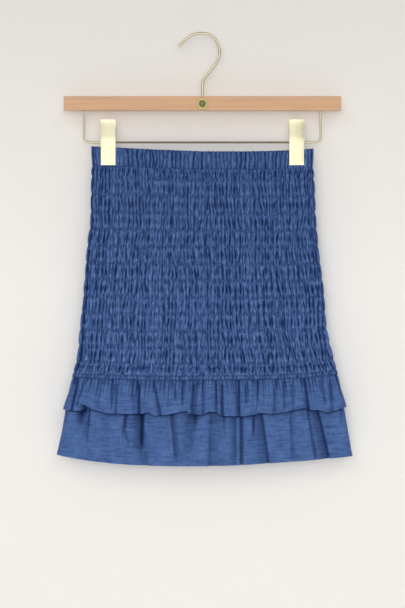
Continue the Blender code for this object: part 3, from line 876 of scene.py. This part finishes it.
def brass_plating(name, colour, roughness, core_shade=1.0):
    """Pale brass plating with faint wear.

    A shade below 1 paints a dark reflection along the rail's middle between the clips: a painted
    reflection of the dark side of the room in the polished wire.
    """
    made = Finish(name, Metallic=1.0)
    place = made.place()
    cloud = made.noise(place, (120, 120, 120), 3.0)
    brushed = made.noise(place, (900, 900, 60), 2.0)
    plated = made.blend(made.sum_of(0.5, (cloud, 0.8)), shade_of(colour, 0.93), shade_of(colour, 1.06))
    if core_shade < 1.0:
        across, _, height = made.add("SeparateXYZ", {0: place}).outputs
        off_middle = made.math("ABSOLUTE", made.math("ADD", height, WIRE_DROP + REFLECTION_LINE_DROP))
        core = made.add("MapRange", {"Value": off_middle, "From_Min": REFLECTION_LINE_EDGE[0],
                                     "From_Max": REFLECTION_LINE_EDGE[1], "To_Min": 1.0, "To_Max": 0.0}).outputs[0]
        between = made.math("LESS_THAN", made.math("ABSOLUTE", across), CLIP_X)
        plated = made.blend(made.math("MULTIPLY", core, between), plated, shade_of(colour, core_shade))
    made.paint(plated, Roughness=made.sum_of(roughness, (brushed, 0.16)))
    made.bump(brushed, 0.00001, strength=0.4)
    return made.material


def one_sided(name, colour, top_shade):
    """Matt paint with a painted shade that darkens it towards the top, that hides nothing behind it and
    lets light through.
    """
    made = Finish(name, Roughness=0.95, Specular_IOR_Level=0.1)
    place = made.place()
    cloud = made.noise(place, (1.3, 1.3, 1.3), 2.0)
    height = made.add("SeparateXYZ", {0: place}).outputs[2]
    rise = made.add("MapRange", {"Value": height, "From_Min": WALL_SHADE[0],
                                 "From_Max": WALL_SHADE[1]}).outputs[0]
    made.paint(made.blend(made.sum_of(rise, (cloud, 0.15)), colour, shade_of(colour, top_shade)))
    back = made.math("MAXIMUM", made.add("NewGeometry").outputs["Backfacing"],
                     made.add("LightPath").outputs["Is Shadow Ray"])
    clear = made.add("BsdfTransparent").outputs[0]
    mixed = made.add("MixShader", {0: back, 1: made.shader.outputs[0], 2: clear}).outputs[0]
    made.tree.links.new(mixed, made.tree.nodes["Material Output"].inputs[0])
    return made.material


def finish_called(name, make, *values, **settings):
    """The finish of this name, made the first time that a piece asks for it."""
    return bpy.data.materials.get(name) or make(name, *values, **settings)


def smocked_denim(cloth):
    return finish_called("smocked denim", chambray, tuple(cloth.smocked), slubs=0.40, hollows=0.96,
                         wrinkles=2.6)


def ruffle_denim(cloth):
    return finish_called("ruffle denim", chambray, tuple(cloth.denim), slubs=1.12, hollows=0.90,
                         wrinkles=0.45)


def stitch_drops():
    return [FIRST_STITCH_DROP + STITCH_PITCH * row for row in range(STITCH_ROWS)]


# The waistband's way over its elastic: up the outside, over the top and down the inside
BandRow = namedtuple("BandRow", "drop out gathered")


def waistband_rows():
    seam = WAIST_SEAM_DROP - HALF_GAP
    rows = [BandRow(seam + 0.0001, 0.0004, 0.2), BandRow(seam, 0.0010, 0.45)]
    for share in np.linspace(0.03, 0.955, 38):
        full = float(np.sin(np.pi * share) ** 0.5)
        rows.append(BandRow(seam + (WAIST_TOP_DROP - seam) * share, WAISTBAND_OUTSIDE, 0.5 + 0.5 * full))
    half_width, height = WAISTBAND_TURN
    for turn in np.linspace(0.25, 1.0, 6):
        angle = math.pi * turn
        rows.append(BandRow(WAIST_TOP_DROP + height * (1 - math.sin(angle)),
                            WAISTBAND_INSIDE + half_width * (1 + math.cos(angle)), 0.55 * (1 - turn)))
    for share in np.linspace(0.05, 0.9, 10):
        rows.append(BandRow(WAIST_TOP_DROP + (seam - WAIST_TOP_DROP) * share, WAISTBAND_INSIDE, 0.0))
    return rows[::-1]


def make_waistband(name, side, cloth):
    """One half of the elastic casing, gathered and pressed flat under the clips."""
    rng, across, along = panel_start(WAISTBAND_SEED, side, WAISTBAND_COLUMNS)
    rows = waistband_rows()
    gathers = draw_gathers(rng, WAISTBAND_SPACING, levels=3, sway=0.0009, jitter=0.10)
    levels = np.array([WAIST_TOP_DROP, (WAIST_TOP_DROP + WAIST_SEAM_DROP) / 2, WAIST_SEAM_DROP])
    drops, out, gathered = np.array(rows).T[..., None]
    height = np.empty((len(rows), len(along)))
    for index, drop in enumerate(drops[:, 0]):
        share = float(np.clip((drop - levels[0]) / (levels[-1] - levels[0]), 0, 1)) * 2
        band = int(share >= 1)
        ease = smoothstep(0, 1, share - band)
        places = gathers.places[band] * (1 - ease) + gathers.places[band + 1] * ease
        depths = 0.55 * gathers.band_depths[band] + 0.45 * gathers.band_depths[1 - band]
        height[index] = fold_height(along, places, depths, FOLD_CREASE)
    uneven = patches(rng, along, drops[:, 0], wide=0.008, high=0.02)
    x = column_x(across, drops)
    from_clip = np.abs(np.abs(x) - CLIP_X) - PRESSED_HALF_WIDTH
    pressed = 1 - smoothstep(0, PRESSED_EDGE, from_clip)
    rise = WAISTBAND_RISE * (1 + 0.18 * uneven) * (1 - 0.72 * pressed)
    rise = rise * (0.5 + 0.5 * side_fade(across))
    near_top = 1 - smoothstep(0, WAISTBAND_DENT_REACH, drops - WAIST_TOP_DROP)
    dented = WAISTBAND_DENT * (1 - height[len(rows) // 2]) * near_top
    points = ring_point(across, drops + dented, out + rise * height * gathered, side)
    # Painted shade in the band's folds, less where the clips press it flat, and painted puckers along
    # the waist seam
    relief = 1.15 * height * (0.4 + 0.6 * gathered) - 0.15 + 0.3 * pressed
    relief = 0.76 * np.clip(relief, 0, 1)
    held = hill(drops - WAIST_SEAM_DROP, WAIST_SEAM_REACH)
    obj = add_cloth(name, points, relief, held, side, smocked_denim(cloth), "smocked_denim")


def make_body(name, side, cloth):
    """One smocked panel: puffed folds between rows of elastic stitching."""
    rng, across, along = panel_start(BODY_SEED, side, BODY_COLUMNS[side])
    top = WAIST_SEAM_DROP - BODY_TUCK[0]
    foot = TAPE_TOP_DROP + BODY_TUCK[1]
    drops = np.linspace(top, foot, BODY_ROWS[side])
    levels = np.array([WAIST_SEAM_DROP, *stitch_drops(), TAPE_TOP_DROP])
    gathers = draw_gathers(rng, cloth.fold_spacing, len(levels), sway=0.0009, jitter=0.24)
    halves = np.arange(0, len(levels) - 0.5, 0.5)
    fine = draw_gathers(rng, FINE_SPACING, len(halves), sway=0.0004, jitter=0.30)
    height = gathered_height(along, drops, levels, gathers, FOLD_CREASE)
    fine_levels = np.interp(halves, np.arange(len(levels)), levels)
    checks = gathered_height(along, drops + STITCH_PITCH / 4, fine_levels, fine, FINE_CREASE)
    uneven = patches(rng, along, drops, wide=0.0055, high=STITCH_PITCH * 0.8)
    broken = patches(rng, along, drops, wide=0.0042, high=0.0075)
    swell = patches(rng, along, drops, wide=0.055, high=0.06)
    waver = patches(rng, along, drops, wide=0.05, high=0.4) * STITCH_WAVER
    tilted = drops[:, None] + waver
    nearest = np.abs(tilted[..., None] - levels).min(axis=-1)
    band = np.clip(nearest / (STITCH_PITCH / 2), 0, 1)
    puff = np.sin(np.pi / 2 * smoothstep(0.0, 1.0, band) ** 0.6)
    fade = side_fade(across)
    rise = cloth.row_rise + (cloth.puff_rise - cloth.row_rise) * puff * (1 + 0.24 * uneven)
    rise = rise * (0.80 + 0.20 * fade)
    floor = BODY_FLOOR + BODY_ROW_FLOOR * (1 - puff) * fade
    near_row = hill(nearest, STITCH_REACH)
    creased = 0.50 + 0.60 * near_row
    height = 1 - (1 - height) * (1.10 + 0.30 * broken)
    out = floor + rise * height + FINE_RISE * (checks - 0.5) * creased + BODY_SWELL * swell
    free = smoothstep(top, top + TUCK_EASE[0], drops)
    free = free * (1 - smoothstep(foot - TUCK_EASE[1], foot, drops))
    out = TUCKED_OUT + (out - TUCKED_OUT) * (0.25 + 0.75 * free[:, None])
    points = ring_point(across, drops[:, None], out, side)
    # Painted shade in the folds' valleys and fine checks, a little more along the rows of stitching, and
    # more towards the panel's top
    relief = np.clip(1.06 * height - 0.80 * (1 - checks) * creased, 0, 1) * (1 - 0.22 * near_row)
    relief = relief * (0.86 + 0.14 * smoothstep(top, foot, drops))[:, None]
    obj = add_cloth(name, points, relief, near_row, side, smocked_denim(cloth), "smocked_denim")
    return points, drops


def make_strip(name, side, cloth):
    """The narrow stitched strip over the join of body and tiers."""
    rng, across, along = panel_start(STRIP_SEED, side, STRIP_COLUMNS)
    top, foot = TAPE_TOP_DROP, STRIP_FOOT_DROP
    inset, face_out = STRIP_FACE
    shape = [(top + inward, out) for inward, out in STRIP_EDGE]
    shape += [(drop, face_out) for drop in np.linspace(top + inset, foot - inset, 7)]
    shape += [(foot - inward, out) for inward, out in reversed(STRIP_EDGE)]
    drops, out = np.array(shape).T[..., None]
    gathers = draw_gathers(rng, FINE_SPACING, levels=2, sway=0.0004, jitter=0.12)
    height = fold_height(along, gathers.places[0], gathers.level_depths[0], STRIP_CREASE)
    uneven = patches(rng, along, drops[:, 0], wide=0.006, high=0.004)
    waver = patches(rng, along, np.array([0.0, 1.0]), wide=0.045, high=1.0)[0] * STRIP_WAVER
    sewn = sum(hill(drops - line, STRIP_STITCH_REACH)
               for line in (top + STRIP_STITCH_INSET, foot - STRIP_STITCH_INSET))
    pressed = STRIP_FOLD_DEPTH * (height - 1) + STRIP_UNEVEN * uneven - STRIP_STITCH_DEPTH * sewn
    out = out + (out > STRIP_PRESSED_BEYOND) * pressed
    points = ring_point(across, drops + waver, np.maximum(out, STRIP_NEAREST), side)
    # Painted shade in the strip's creases and along its stitching, darker over all, and deeper along its
    # two edges
    relief = 0.74 * height * (1 - 0.20 * sewn)
    relief = relief * (1 - 0.30 * hill(drops - top, STRIP_SHADE_REACH[0]))
    relief = relief * (1 - 0.85 * hill(drops - foot, STRIP_SHADE_REACH[1]))
    obj = add_cloth(name, points, relief, 0.4, side, smocked_denim(cloth), "smocked_denim")
    return points, drops[:, 0]


def valley_cut(valleys, x, share, side):
    """How deep a tier's folds are cut at these places, and how much painted shade they get: a narrow one
    more.
    """
    cut = np.zeros(np.broadcast(x, share).shape)
    shade = np.zeros_like(cut)
    for valley in valleys:
        run = (share - valley.start) / (valley.end - valley.start)
        centre = valley.begin + (valley.finish - valley.begin) * np.clip(run, -0.5, 1.5)
        left, right, depth = valley.left, valley.right, valley.depth
        if side == BACK:
            centre = BACK_SHIFT - centre
            left, right, depth = right, left, depth * BACK_DEPTH
        offset = x - centre
        width = np.where(offset < 0, left, right)
        reach = np.minimum(np.abs(offset) / width, 1)
        begins = smoothstep(valley.start - 0.12, valley.start + 0.14, share) if valley.start else 1
        ends = 1 - smoothstep(valley.end - 0.06, valley.end + 0.16, share) if valley.end < 1 else 1
        shape = depth * (1 - reach ** 2) ** 2 / (1 + (reach / 0.55) ** 2) * begins * ends
        # Painted shade: strongest as a dark line along a narrow valley's crease, weaker over a wide
        # slope
        crease = hill(offset, CREASE_REACH)
        narrow = np.clip(NARROW_VALLEY / math.sqrt(left * right), 0.3, 1)
        broad = np.clip(NARROW_VALLEY / width, 0.3, 1)
        cut = np.hypot(cut, shape)
        shade = np.hypot(shade, shape * (broad + (narrow - broad) * crease))
    return cut, shade


def tier_gathers(rng, along, share, reach, spacing):
    """Fine gathers that fan out below the strip and fade as they go down."""
    gathers = draw_gathers(rng, spacing, levels=2, sway=0.0006, jitter=0.14)
    lasting = rng.uniform(0.45, 1.0, gathers.places.shape[1]) * reach
    rows = []
    for place in share:
        depths = 1.3 * gathers.level_depths[0] * np.clip(1.15 - place / lasting, 0, 1)
        places = gathers.places[0] * (1 - place) + gathers.places[1] * place
        rows.append(fold_height(along, places, np.clip(depths, 0, 0.9), GATHER_CREASE))
    return np.array(rows)


def make_flounce(name, side, cloth):
    """The long lower tier, falling in soft folds from under the ruffle."""
    rng, across, along = panel_start(FLOUNCE_SEED, side, TIER_COLUMNS[side])
    share = np.linspace(0, 1, FLOUNCE_TIER_ROWS)
    down = share[:, None]
    top = STRIP_FOOT_DROP - FLOUNCE_TUCK
    drops = top + (HEM_DROP - top) * down
    fade = side_fade(across)
    cut, shade = valley_cut(FLOUNCE_VALLEYS, column_x(across, drops), down, side)
    cut = cut * np.minimum(down / 0.36, 1) * fade
    gathers = tier_gathers(rng, along, share, 0.55, FLOUNCE_SPACING)
    broad = patches(rng, along, drops[:, 0], wide=0.030, high=0.09)
    soft = patches(rng, along, drops[:, 0], wide=0.011, high=0.05)
    free = smoothstep(0.44, 0.62, down)
    swell = (FLOUNCE_SWELL[0] * broad + FLOUNCE_SWELL[1] * soft) * down * fade
    swell = np.minimum(swell, UNDER_RUFFLE_SWELL + FREE_SWELL * free)
    out = TIER_CLOTH_MAX + swell - cut - FLOUNCE_GATHER_DEPTH * (1 - gathers) * (1 - down)
    fold_top = HEM_DROP - HEM_FOLD_HEIGHT
    hem = smoothstep(fold_top - HEM_FOLD_EDGE, fold_top, drops)
    points = ring_point(across, drops, out + HEM_FOLD_RISE * hem, side)
    # Painted shade on the flounce: in its valleys and gather creases, and a painted shadow under the
    # ruffle's hem
    ruffle_hem = ruffle_hem_drop(column_x(across, RUFFLE_HEM_LEVEL), side)
    below = np.minimum(ruffle_hem + SHADOW_START - drops, 0)
    ruffle_shadow = 0.82 * hill(below, SHADOW_REACH[0]) + 0.22 * np.exp(below / SHADOW_REACH[1])
    relief = np.clip(1 - shade * fade / DARKEST_CUT - 0.8 * (1 - gathers) - ruffle_shadow * fade, 0, 1)
    obj = add_cloth(name, points, relief, 0.0, side, ruffle_denim(cloth), "ruffle_denim")
    thicken(obj, cloth.cloth_thickness)
    return points, drops[:, 0]


def ruffle_hem_drop(x, side):
    """The drop of the ruffle's hem at each place, from its measured fall."""
    fall = rounded(x, *np.array(RUFFLE_HEM).T, HEM_ROUNDING, 5)
    if side == BACK:
        own = rounded(BACK_SHIFT - x, *np.array(RUFFLE_HEM).T, HEM_ROUNDING, 5)
        seam = smoothstep(0.150, 0.180, np.abs(x))
        fall = own * (1 - seam) + fall * seam
    return fall + lift_at(x, fall)


def make_ruffle(name, side, cloth):
    """The short upper tier, doubled over itself here and there, with a waving hem."""
    rng, across, along = panel_start(RUFFLE_SEED, side, TIER_COLUMNS[side])
    share = np.linspace(0, 1, RUFFLE_TIER_ROWS)
    down = share[:, None]
    top = STRIP_FOOT_DROP - RUFFLE_TUCK
    hem_drop = ruffle_hem_drop(column_x(across, RUFFLE_HEM_LEVEL), side)
    drops = top + (hem_drop - top) * down
    x = column_x(across, drops)
    fade = side_fade(across)
    slide = np.zeros_like(x)
    forward = np.zeros_like(x)
    for lap in RUFFLE_LAPS:
        place, facing = lap.place, lap.facing
        if side == BACK:
            place, facing = BACK_SHIFT - place, -facing
        offset = (x - place) / lap.half_width
        grown = np.clip((down - 0.15) / 0.85, 0, 1) ** 1.3
        slide -= lap.overlap * offset * np.exp(0.5 - offset ** 2 / 2) * grown
        in_front, behind = (smoothstep(-1.3, 1.3, ahead) * np.exp(-np.maximum(ahead, 0) / length)
                            for ahead, length in ((offset * facing, 5), (-offset * facing, 3)))
        forward += lap.lift * (in_front - 0.6 * behind) * grown
    cut, shade = valley_cut(RUFFLE_VALLEYS, x, down, side)
    gathers = tier_gathers(rng, along, share, 0.95, RUFFLE_SPACING)
    broad = patches(rng, along, share, wide=0.022, high=1.2)
    soft = patches(rng, along, share, wide=0.008, high=0.7)
    stand = RUFFLE_STAND * down ** 0.85 + (RUFFLE_SWELL[0] * broad + RUFFLE_SWELL[1] * soft) * down
    stand = stand + forward - cut * (0.25 + 0.75 * down)
    stand = np.where(stand > CLOSEST, stand, CLOSEST * np.exp(np.minimum(stand / CLOSEST - 1, 0)))
    proud = smoothstep(0.0, 0.12, down)
    out = RUFFLE_START_OUT - RUFFLE_SEAM_DENT * (1 - proud) + stand * fade
    out = out + RUFFLE_GATHER_DEPTH * (gathers - 0.6) * (1 - 0.5 * down) * proud
    out = out + HEM_FOLD_RISE * smoothstep(RUFFLE_HEM_FOLD, RUFFLE_HEM_FOLD + 0.01, down)
    out = out + (1 - fade) * (RUFFLE_SIDE_STAND * smoothstep(0.40, 0.95, down) - RUFFLE_SIDE_DENT)
    width = column_x(2.0, drops) - column_x(1.0, drops)
    moved = np.where((across > 1) & (across < 2), across + slide / width, across)
    points = ring_point(moved, drops, np.maximum(out, RUFFLE_NEAREST), side)
    # Painted shade on the ruffle: in its valleys and gather creases, and along its top under the strip
    seam = hill(drops - top, RUFFLE_SEAM_REACH)
    relief = np.clip(1.16 - shade / DARKEST_CUT - 1.7 * (1 - gathers) - 0.55 * seam, 0, 1)
    held = 0.12 + 0.8 * np.exp(-(drops - top) / RUFFLE_HELD_REACH)
    obj = add_cloth(name, points, relief, held, side, ruffle_denim(cloth), "ruffle_denim")
    thicken(obj, cloth.cloth_thickness)
    return points, share


def add_wire(name, route, radius, material, node):
    """A round wire along a route in the plane of the hanger, made a mesh."""
    curve = bpy.data.curves.new(name, "CURVE")
    curve.dimensions = "3D"
    curve.bevel_depth = radius
    curve.bevel_resolution = 5
    curve.resolution_u = 10
    curve.use_fill_caps = True
    route(curve)
    holder = add_object(name + "_line", curve)
    bpy.context.view_layer.update()
    mesh = bpy.data.meshes.new_from_object(holder.evaluated_get(bpy.context.evaluated_depsgraph_get()))
    bpy.data.objects.remove(holder)
    mesh.name = name
    mesh.shade_smooth()
    mesh.set_sharp_from_angle(angle=math.radians(50))
    return add_piece(name, mesh, material, "pale_brass", node)


def hook_line(curve):
    spline = curve.splines.new("BEZIER")
    spline.bezier_points.add(len(HOOK_ROUTE) - 1)
    for point, row in zip(spline.bezier_points, HOOK_ROUTE):
        point.co = (row.x, 0, row.z)
    for point, row in zip(spline.bezier_points, HOOK_ROUTE):
        point.handle_left_type = point.handle_right_type = row.handles


def poly_line(curve, points):
    spline = curve.splines.new("POLY")
    spline.points.add(len(points) - 1)
    for point, place in zip(spline.points, points):
        point.co = (*place, 1)


def rail_line(curve):
    """Down from the bar, round a bend, along, round a bend and up."""
    half = [(WIRE_HALF_WIDTH, 0, -BAR_TOP_DROP - BAR_HEIGHT - METAL_GAP)]
    for turn in np.linspace(0, math.pi / 2, 13):
        half.append((WIRE_HALF_WIDTH - WIRE_BEND * (1 - math.cos(turn)), 0,
                     WIRE_BEND * (1 - math.sin(turn)) - WIRE_DROP))
    poly_line(curve, half + [(-x, 0, z) for x, _, z in reversed(half)])


def coil_line(centre_x):
    """The route of a clip's spring round the rail, from ear to ear."""
    def line(curve):
        curve.bevel_resolution = 2
        half = CLIP_WIDTH / 2 - CLIP_PLATE - COIL_GAP - SPRING_WIRE
        radius = SPRING_RADIUS - SPRING_WIRE
        turns = np.linspace(0, SPRING_TURNS, SPRING_TURNS * COIL_STEPS + 1)
        poly_line(curve, [(centre_x + half * (2 * turn / SPRING_TURNS - 1),
                           radius * math.cos(2 * math.pi * turn),
                           radius * math.sin(2 * math.pi * turn) - WIRE_DROP) for turn in turns])
    return line


def add_turned(name, section, material, node):
    """A round piece on the bar's front, spun from half of its section."""
    bm = bmesh.new()
    verts = [bm.verts.new((radius, -front, 0)) for radius, front in section]
    edges = [bm.edges.new(pair) for pair in zip(verts, verts[1:])]
    bmesh.ops.spin(bm, geom=verts + edges, cent=(0, 0, 0), axis=(0, 1, 0), angle=2 * math.pi,
                   steps=72, use_merge=True)
    bmesh.ops.remove_doubles(bm, verts=bm.verts[:], dist=1e-6)
    bmesh.ops.holes_fill(bm, edges=[edge for edge in bm.edges if edge.is_boundary], sides=0)
    bmesh.ops.recalc_face_normals(bm, faces=bm.faces[:])
    bmesh.ops.translate(bm, vec=(0, -BAR_DEPTH / 2, -ROSETTE_DROP), verts=bm.verts[:])
    return add_piece(name, finished_mesh(name, bm, 40), material, "pale_brass", node)


def clip_distance(drop):
    """The distance of a plate's inner face from the hanger's plane, with its bends rounded."""
    return rounded(drop, *np.array(CLIP_PROFILE[::-1]).T, CLIP_BEND, 9)


def add_clip_plate(name, centre_x, side, material, node):
    """A bent plate, with two small ears that reach in to the rail at its pivot."""
    half = CLIP_WIDTH / 2
    handle, tip = CLIP_PROFILE[-1].drop, CLIP_PROFILE[0].drop
    bm = flat_grid(10, CLIP_ROWS)
    for vert in bm.verts:
        drop = handle + (tip - handle) * (0.5 - vert.co.y)
        share = vert.co.x * 2
        curl = CLIP_CURL * smoothstep(tip - CLIP_CURL_HEIGHT, tip, drop) - CLIP_ARCH * share ** 2
        vert.co = (centre_x + half * share,
                   side * (clip_distance(drop) + CLIP_PLATE + float(curl)), -drop)
    if side == BACK:
        bmesh.ops.reverse_faces(bm, faces=bm.faces[:])
    bmesh.ops.solidify(bm, geom=bm.faces[:], thickness=CLIP_PLATE)
    under, over = CLIP_PROFILE[1].drop, CLIP_PROFILE[2].drop
    reach = WIRE_RADIUS + METAL_GAP
    for end in (-1, 1):
        depth = clip_distance((under + over) / 2) + CLIP_PLATE / 2 - reach
        place = Matrix.Translation((centre_x + end * (half - CLIP_PLATE / 2),
                                    side * (reach + depth / 2), -(under + over) / 2))
        sized = Matrix.Diagonal((CLIP_PLATE, depth, under - over, 1))
        bmesh.ops.create_cube(bm, size=1, matrix=place @ sized)
    obj = add_piece(name, finished_mesh(name, bm, 35), material, "pale_brass", node)
    bevel = obj.modifiers.new("eased edges", "BEVEL")
    bevel.width = CLIP_EDGE
    bevel.segments = 2
    bevel.limit_method = "ANGLE"
    bevel.angle_limit = math.radians(50)
    return obj


class SKIRT_OT_waistband(Operator):
    """Gathers the elastic waistband, front and back"""
    bl_idname = "skirt.waistband"
    bl_label = "Waistband"

    def execute(self, context):
        for half, side in HALVES:
            make_waistband(f"waistband_{half}_cloth", side, context.scene.skirt_cloth)
        return {"FINISHED"}


class SKIRT_OT_body(Operator):
    """Smocks the body's two panels and sews their rows of elastic"""
    bl_idname = "skirt.body"
    bl_label = "Smocked body"

    def execute(self, context):
        cloth = context.scene.skirt_cloth
        for half, side in HALVES:
            points, drops = make_body(f"body_{half}_cloth", side, cloth)
            sewing = Sewing()
            for number, drop in enumerate(stitch_drops()):
                sewing.row(points, drops, drop, side, BODY_STITCH, STITCH_SHIFT * (number % 4))
            sewing.finish(f"body_{half}_stitches", "smocked_denim", cloth)
        return {"FINISHED"}


class SKIRT_OT_strip(Operator):
    """Lays the stitched strip over the join"""
    bl_idname = "skirt.strip"
    bl_label = "Joining strip"

    def execute(self, context):
        cloth = context.scene.skirt_cloth
        for half, side in HALVES:
            points, drops = make_strip(f"seam_band_{half}_cloth", side, cloth)
            sewing = Sewing()
            for drop in (TAPE_TOP_DROP + STRIP_STITCH_INSET, STRIP_FOOT_DROP - STRIP_STITCH_INSET):
                sewing.row(points, drops, drop, side, STRIP_STITCH)
            sewing.finish(f"seam_band_{half}_stitches", "smocked_denim", cloth)
        return {"FINISHED"}


class SKIRT_OT_tiers(Operator):
    """Hangs the flounce and the short ruffle over it, with their hems"""
    bl_idname = "skirt.tiers"
    bl_label = "Ruffle and flounce"

    def execute(self, context):
        cloth = context.scene.skirt_cloth
        for half, side in HALVES:
            sewing = Sewing()
            flounce = make_flounce(f"flounce_{half}_cloth", side, cloth)
            sewing.row(*flounce, HEM_DROP - HEM_FOLD_HEIGHT, side, HEM_STITCH)
            ruffle = make_ruffle(f"upper_ruffle_{half}_cloth", side, cloth)
            sewing.row(*ruffle, RUFFLE_HEM_FOLD, side, HEM_STITCH)
            sewing.finish(f"hem_{half}_stitches", "ruffle_denim", cloth)
        return {"FINISHED"}


class SKIRT_OT_bar(Operator):
    """Finishes the hanger's beech bar"""
    bl_idname = "skirt.bar"
    bl_label = "Beech bar"

    def execute(self, context):
        beech = tuple(context.scene.skirt_hanger.beech)
        bar = frame["nodes"]["hanger_bar"]
        bar.data.materials.clear()
        bar.data.materials.append(finish_called("oiled beech", oiled_beech, beech))
        return {"FINISHED"}


class SKIRT_OT_hook(Operator):
    """Bends the hook and turns the rosette and its screw"""
    bl_idname = "skirt.hook"
    bl_label = "Hook and rosette"

    def execute(self, context):
        hanger = context.scene.skirt_hanger
        wire = finish_called("warm brass", brass_plating, tuple(hanger.wire_brass),
                             roughness=WIRE_ROUGHNESS)
        add_wire("hook_wire", hook_line, HOOK_RADIUS, wire, "hanger_hook")
        old = finish_called("old brass", brass_plating, tuple(hanger.old_brass), roughness=0.38)
        # The screw head's brass is painted far darker: painted shade of the recess that it sits in
        dark = finish_called("dark brass", brass_plating, shade_of(hanger.old_brass, 0.35),
                             roughness=0.42)
        add_turned("rosette_ring", ROSETTE_SECTION, old, "hook_rosette")
        add_turned("rosette_screw_head", SCREW_SECTION, dark, "rosette_screw")
        return {"FINISHED"}


class SKIRT_OT_clips(Operator):
    """Bends the rail under the bar and hangs the two spring clips on it"""
    bl_idname = "skirt.clips"
    bl_label = "Rail and clips"

    def execute(self, context):
        hanger = context.scene.skirt_hanger
        # The rail's brass carries a painted dark reflection along its middle between the clips
        rail = finish_called("rail brass", brass_plating, tuple(hanger.wire_brass),
                             roughness=WIRE_ROUGHNESS, core_shade=0.20)
        add_wire("clip_rail", rail_line, WIRE_RADIUS, rail, "clip_wire")
        metal = finish_called("pale brass", brass_plating, tuple(hanger.brass),
                              roughness=hanger.brass_roughness)
        for hand, centre_x in (("left", -CLIP_X), ("right", CLIP_X)):
            for half, side in HALVES:
                node = f"clip_{hand}_{half}"
                add_clip_plate(f"{node}_plate", centre_x, side, metal, node)
            add_wire(f"clip_{hand}_coil", coil_line(centre_x), SPRING_WIRE, metal,
                     f"clip_{hand}_spring")
        return {"FINISHED"}


def add_plane(name, corners, material):
    """A flat stage face, its corners given as seen from its front: the two low ones from left to
    right, then the two high ones."""
    bm = flat_grid(1, 1)
    for vert in bm.verts:
        vert.co = corners[(2 if vert.co.y > 0 else 0) + (1 if vert.co.x > 0 else 0)]
    mesh = finished_mesh(name, bm)
    mesh.materials.append(material)
    add_object(name, mesh)


def add_area_light(name, place, size, power):
    """A round soft light that is turned to the middle of the skirt."""
    light = bpy.data.lights.new(name, "AREA")
    light.shape = "DISK"
    light.size = size
    light.energy = power
    light.color = LIGHT_COLOUR
    obj = add_object(name, light)
    obj.location = place
    obj.rotation_euler = (Vector(LIGHT_AIM) - Vector(place)).to_track_quat("-Z", "Y").to_euler()
    return obj


class SKIRT_OT_stage(Operator):
    """Sets the wall, the floor, the lights and the camera"""
    bl_idname = "skirt.stage"
    bl_label = "Stage"

    def execute(self, context):
        stage = context.scene.skirt_stage
        paint = finish_called("matt wall paint", one_sided, tuple(stage.wall), top_shade=0.85)
        far, low, high = STAGE_REACH, -FLOOR_DROP, WALL_TOP
        foot = (-far, WALL_PLACE, low), (far, WALL_PLACE, low)
        add_plane("wall", (*foot, (-far, WALL_PLACE, high), (far, WALL_PLACE, high)), paint)
        add_plane("floor", ((-far, -far, low), (far, -far, low), *foot), paint)
        world = bpy.data.worlds.new("room")
        world.use_nodes = True
        background = world.node_tree.nodes["Background"]
        background.inputs["Color"].default_value = ROOM_COLOUR
        background.inputs["Strength"].default_value = stage.sky
        context.scene.world = world
        for name, (place, size) in LIGHTS.items():
            light = add_area_light(f"{name} light", place, size, getattr(stage, f"{name}_power"))
            light.visible_glossy = name != "fill"
        camera = bpy.data.cameras.new("camera")
        camera.lens = CAMERA_LENS
        camera.clip_end = 50
        viewer = add_object("camera", camera)
        viewer.location = Vector(VIEW_CENTRE) - Vector((0, CAMERA_DISTANCE, 0))
        viewer.rotation_euler = (math.pi / 2, 0, 0)
        context.scene.camera = viewer
        context.scene.view_settings.view_transform = "Standard"
        return {"FINISHED"}


class SKIRT_PT_panel(Panel):
    bl_label = "Smocked Denim Skirt"
    bl_idname = "SKIRT_PT_panel"
    bl_space_type = "VIEW_3D"
    bl_region_type = "UI"
    bl_category = "Skirt"

    def draw(self, context):
        for group in (context.scene.skirt_cloth, context.scene.skirt_hanger, context.scene.skirt_stage):
            box = self.layout.box()
            for name in group.__annotations__:
                box.prop(group, name)
        for operator in OPERATORS:
            self.layout.operator(operator.bl_idname)


OPERATORS = (SKIRT_OT_stage, SKIRT_OT_bar, SKIRT_OT_hook, SKIRT_OT_clips, SKIRT_OT_waistband,
             SKIRT_OT_body, SKIRT_OT_strip, SKIRT_OT_tiers)
SETTINGS = {"skirt_cloth": ClothSettings, "skirt_hanger": HangerSettings, "skirt_stage": StageSettings}


def register():
    for made in (*SETTINGS.values(), *OPERATORS, SKIRT_PT_panel):
        bpy.utils.register_class(made)
    for name, group in SETTINGS.items():
        setattr(bpy.types.Scene, name, PointerProperty(type=group))


def unregister():
    for name in SETTINGS:
        delattr(bpy.types.Scene, name)
    for made in (SKIRT_PT_panel, *reversed(OPERATORS), *SETTINGS.values()):
        bpy.utils.unregister_class(made)


def main():
    register()
    for operator in OPERATORS:
        group, name = operator.bl_idname.split(".")
        getattr(getattr(bpy.ops, group), name)()


if __name__ == "__main__":
    main()
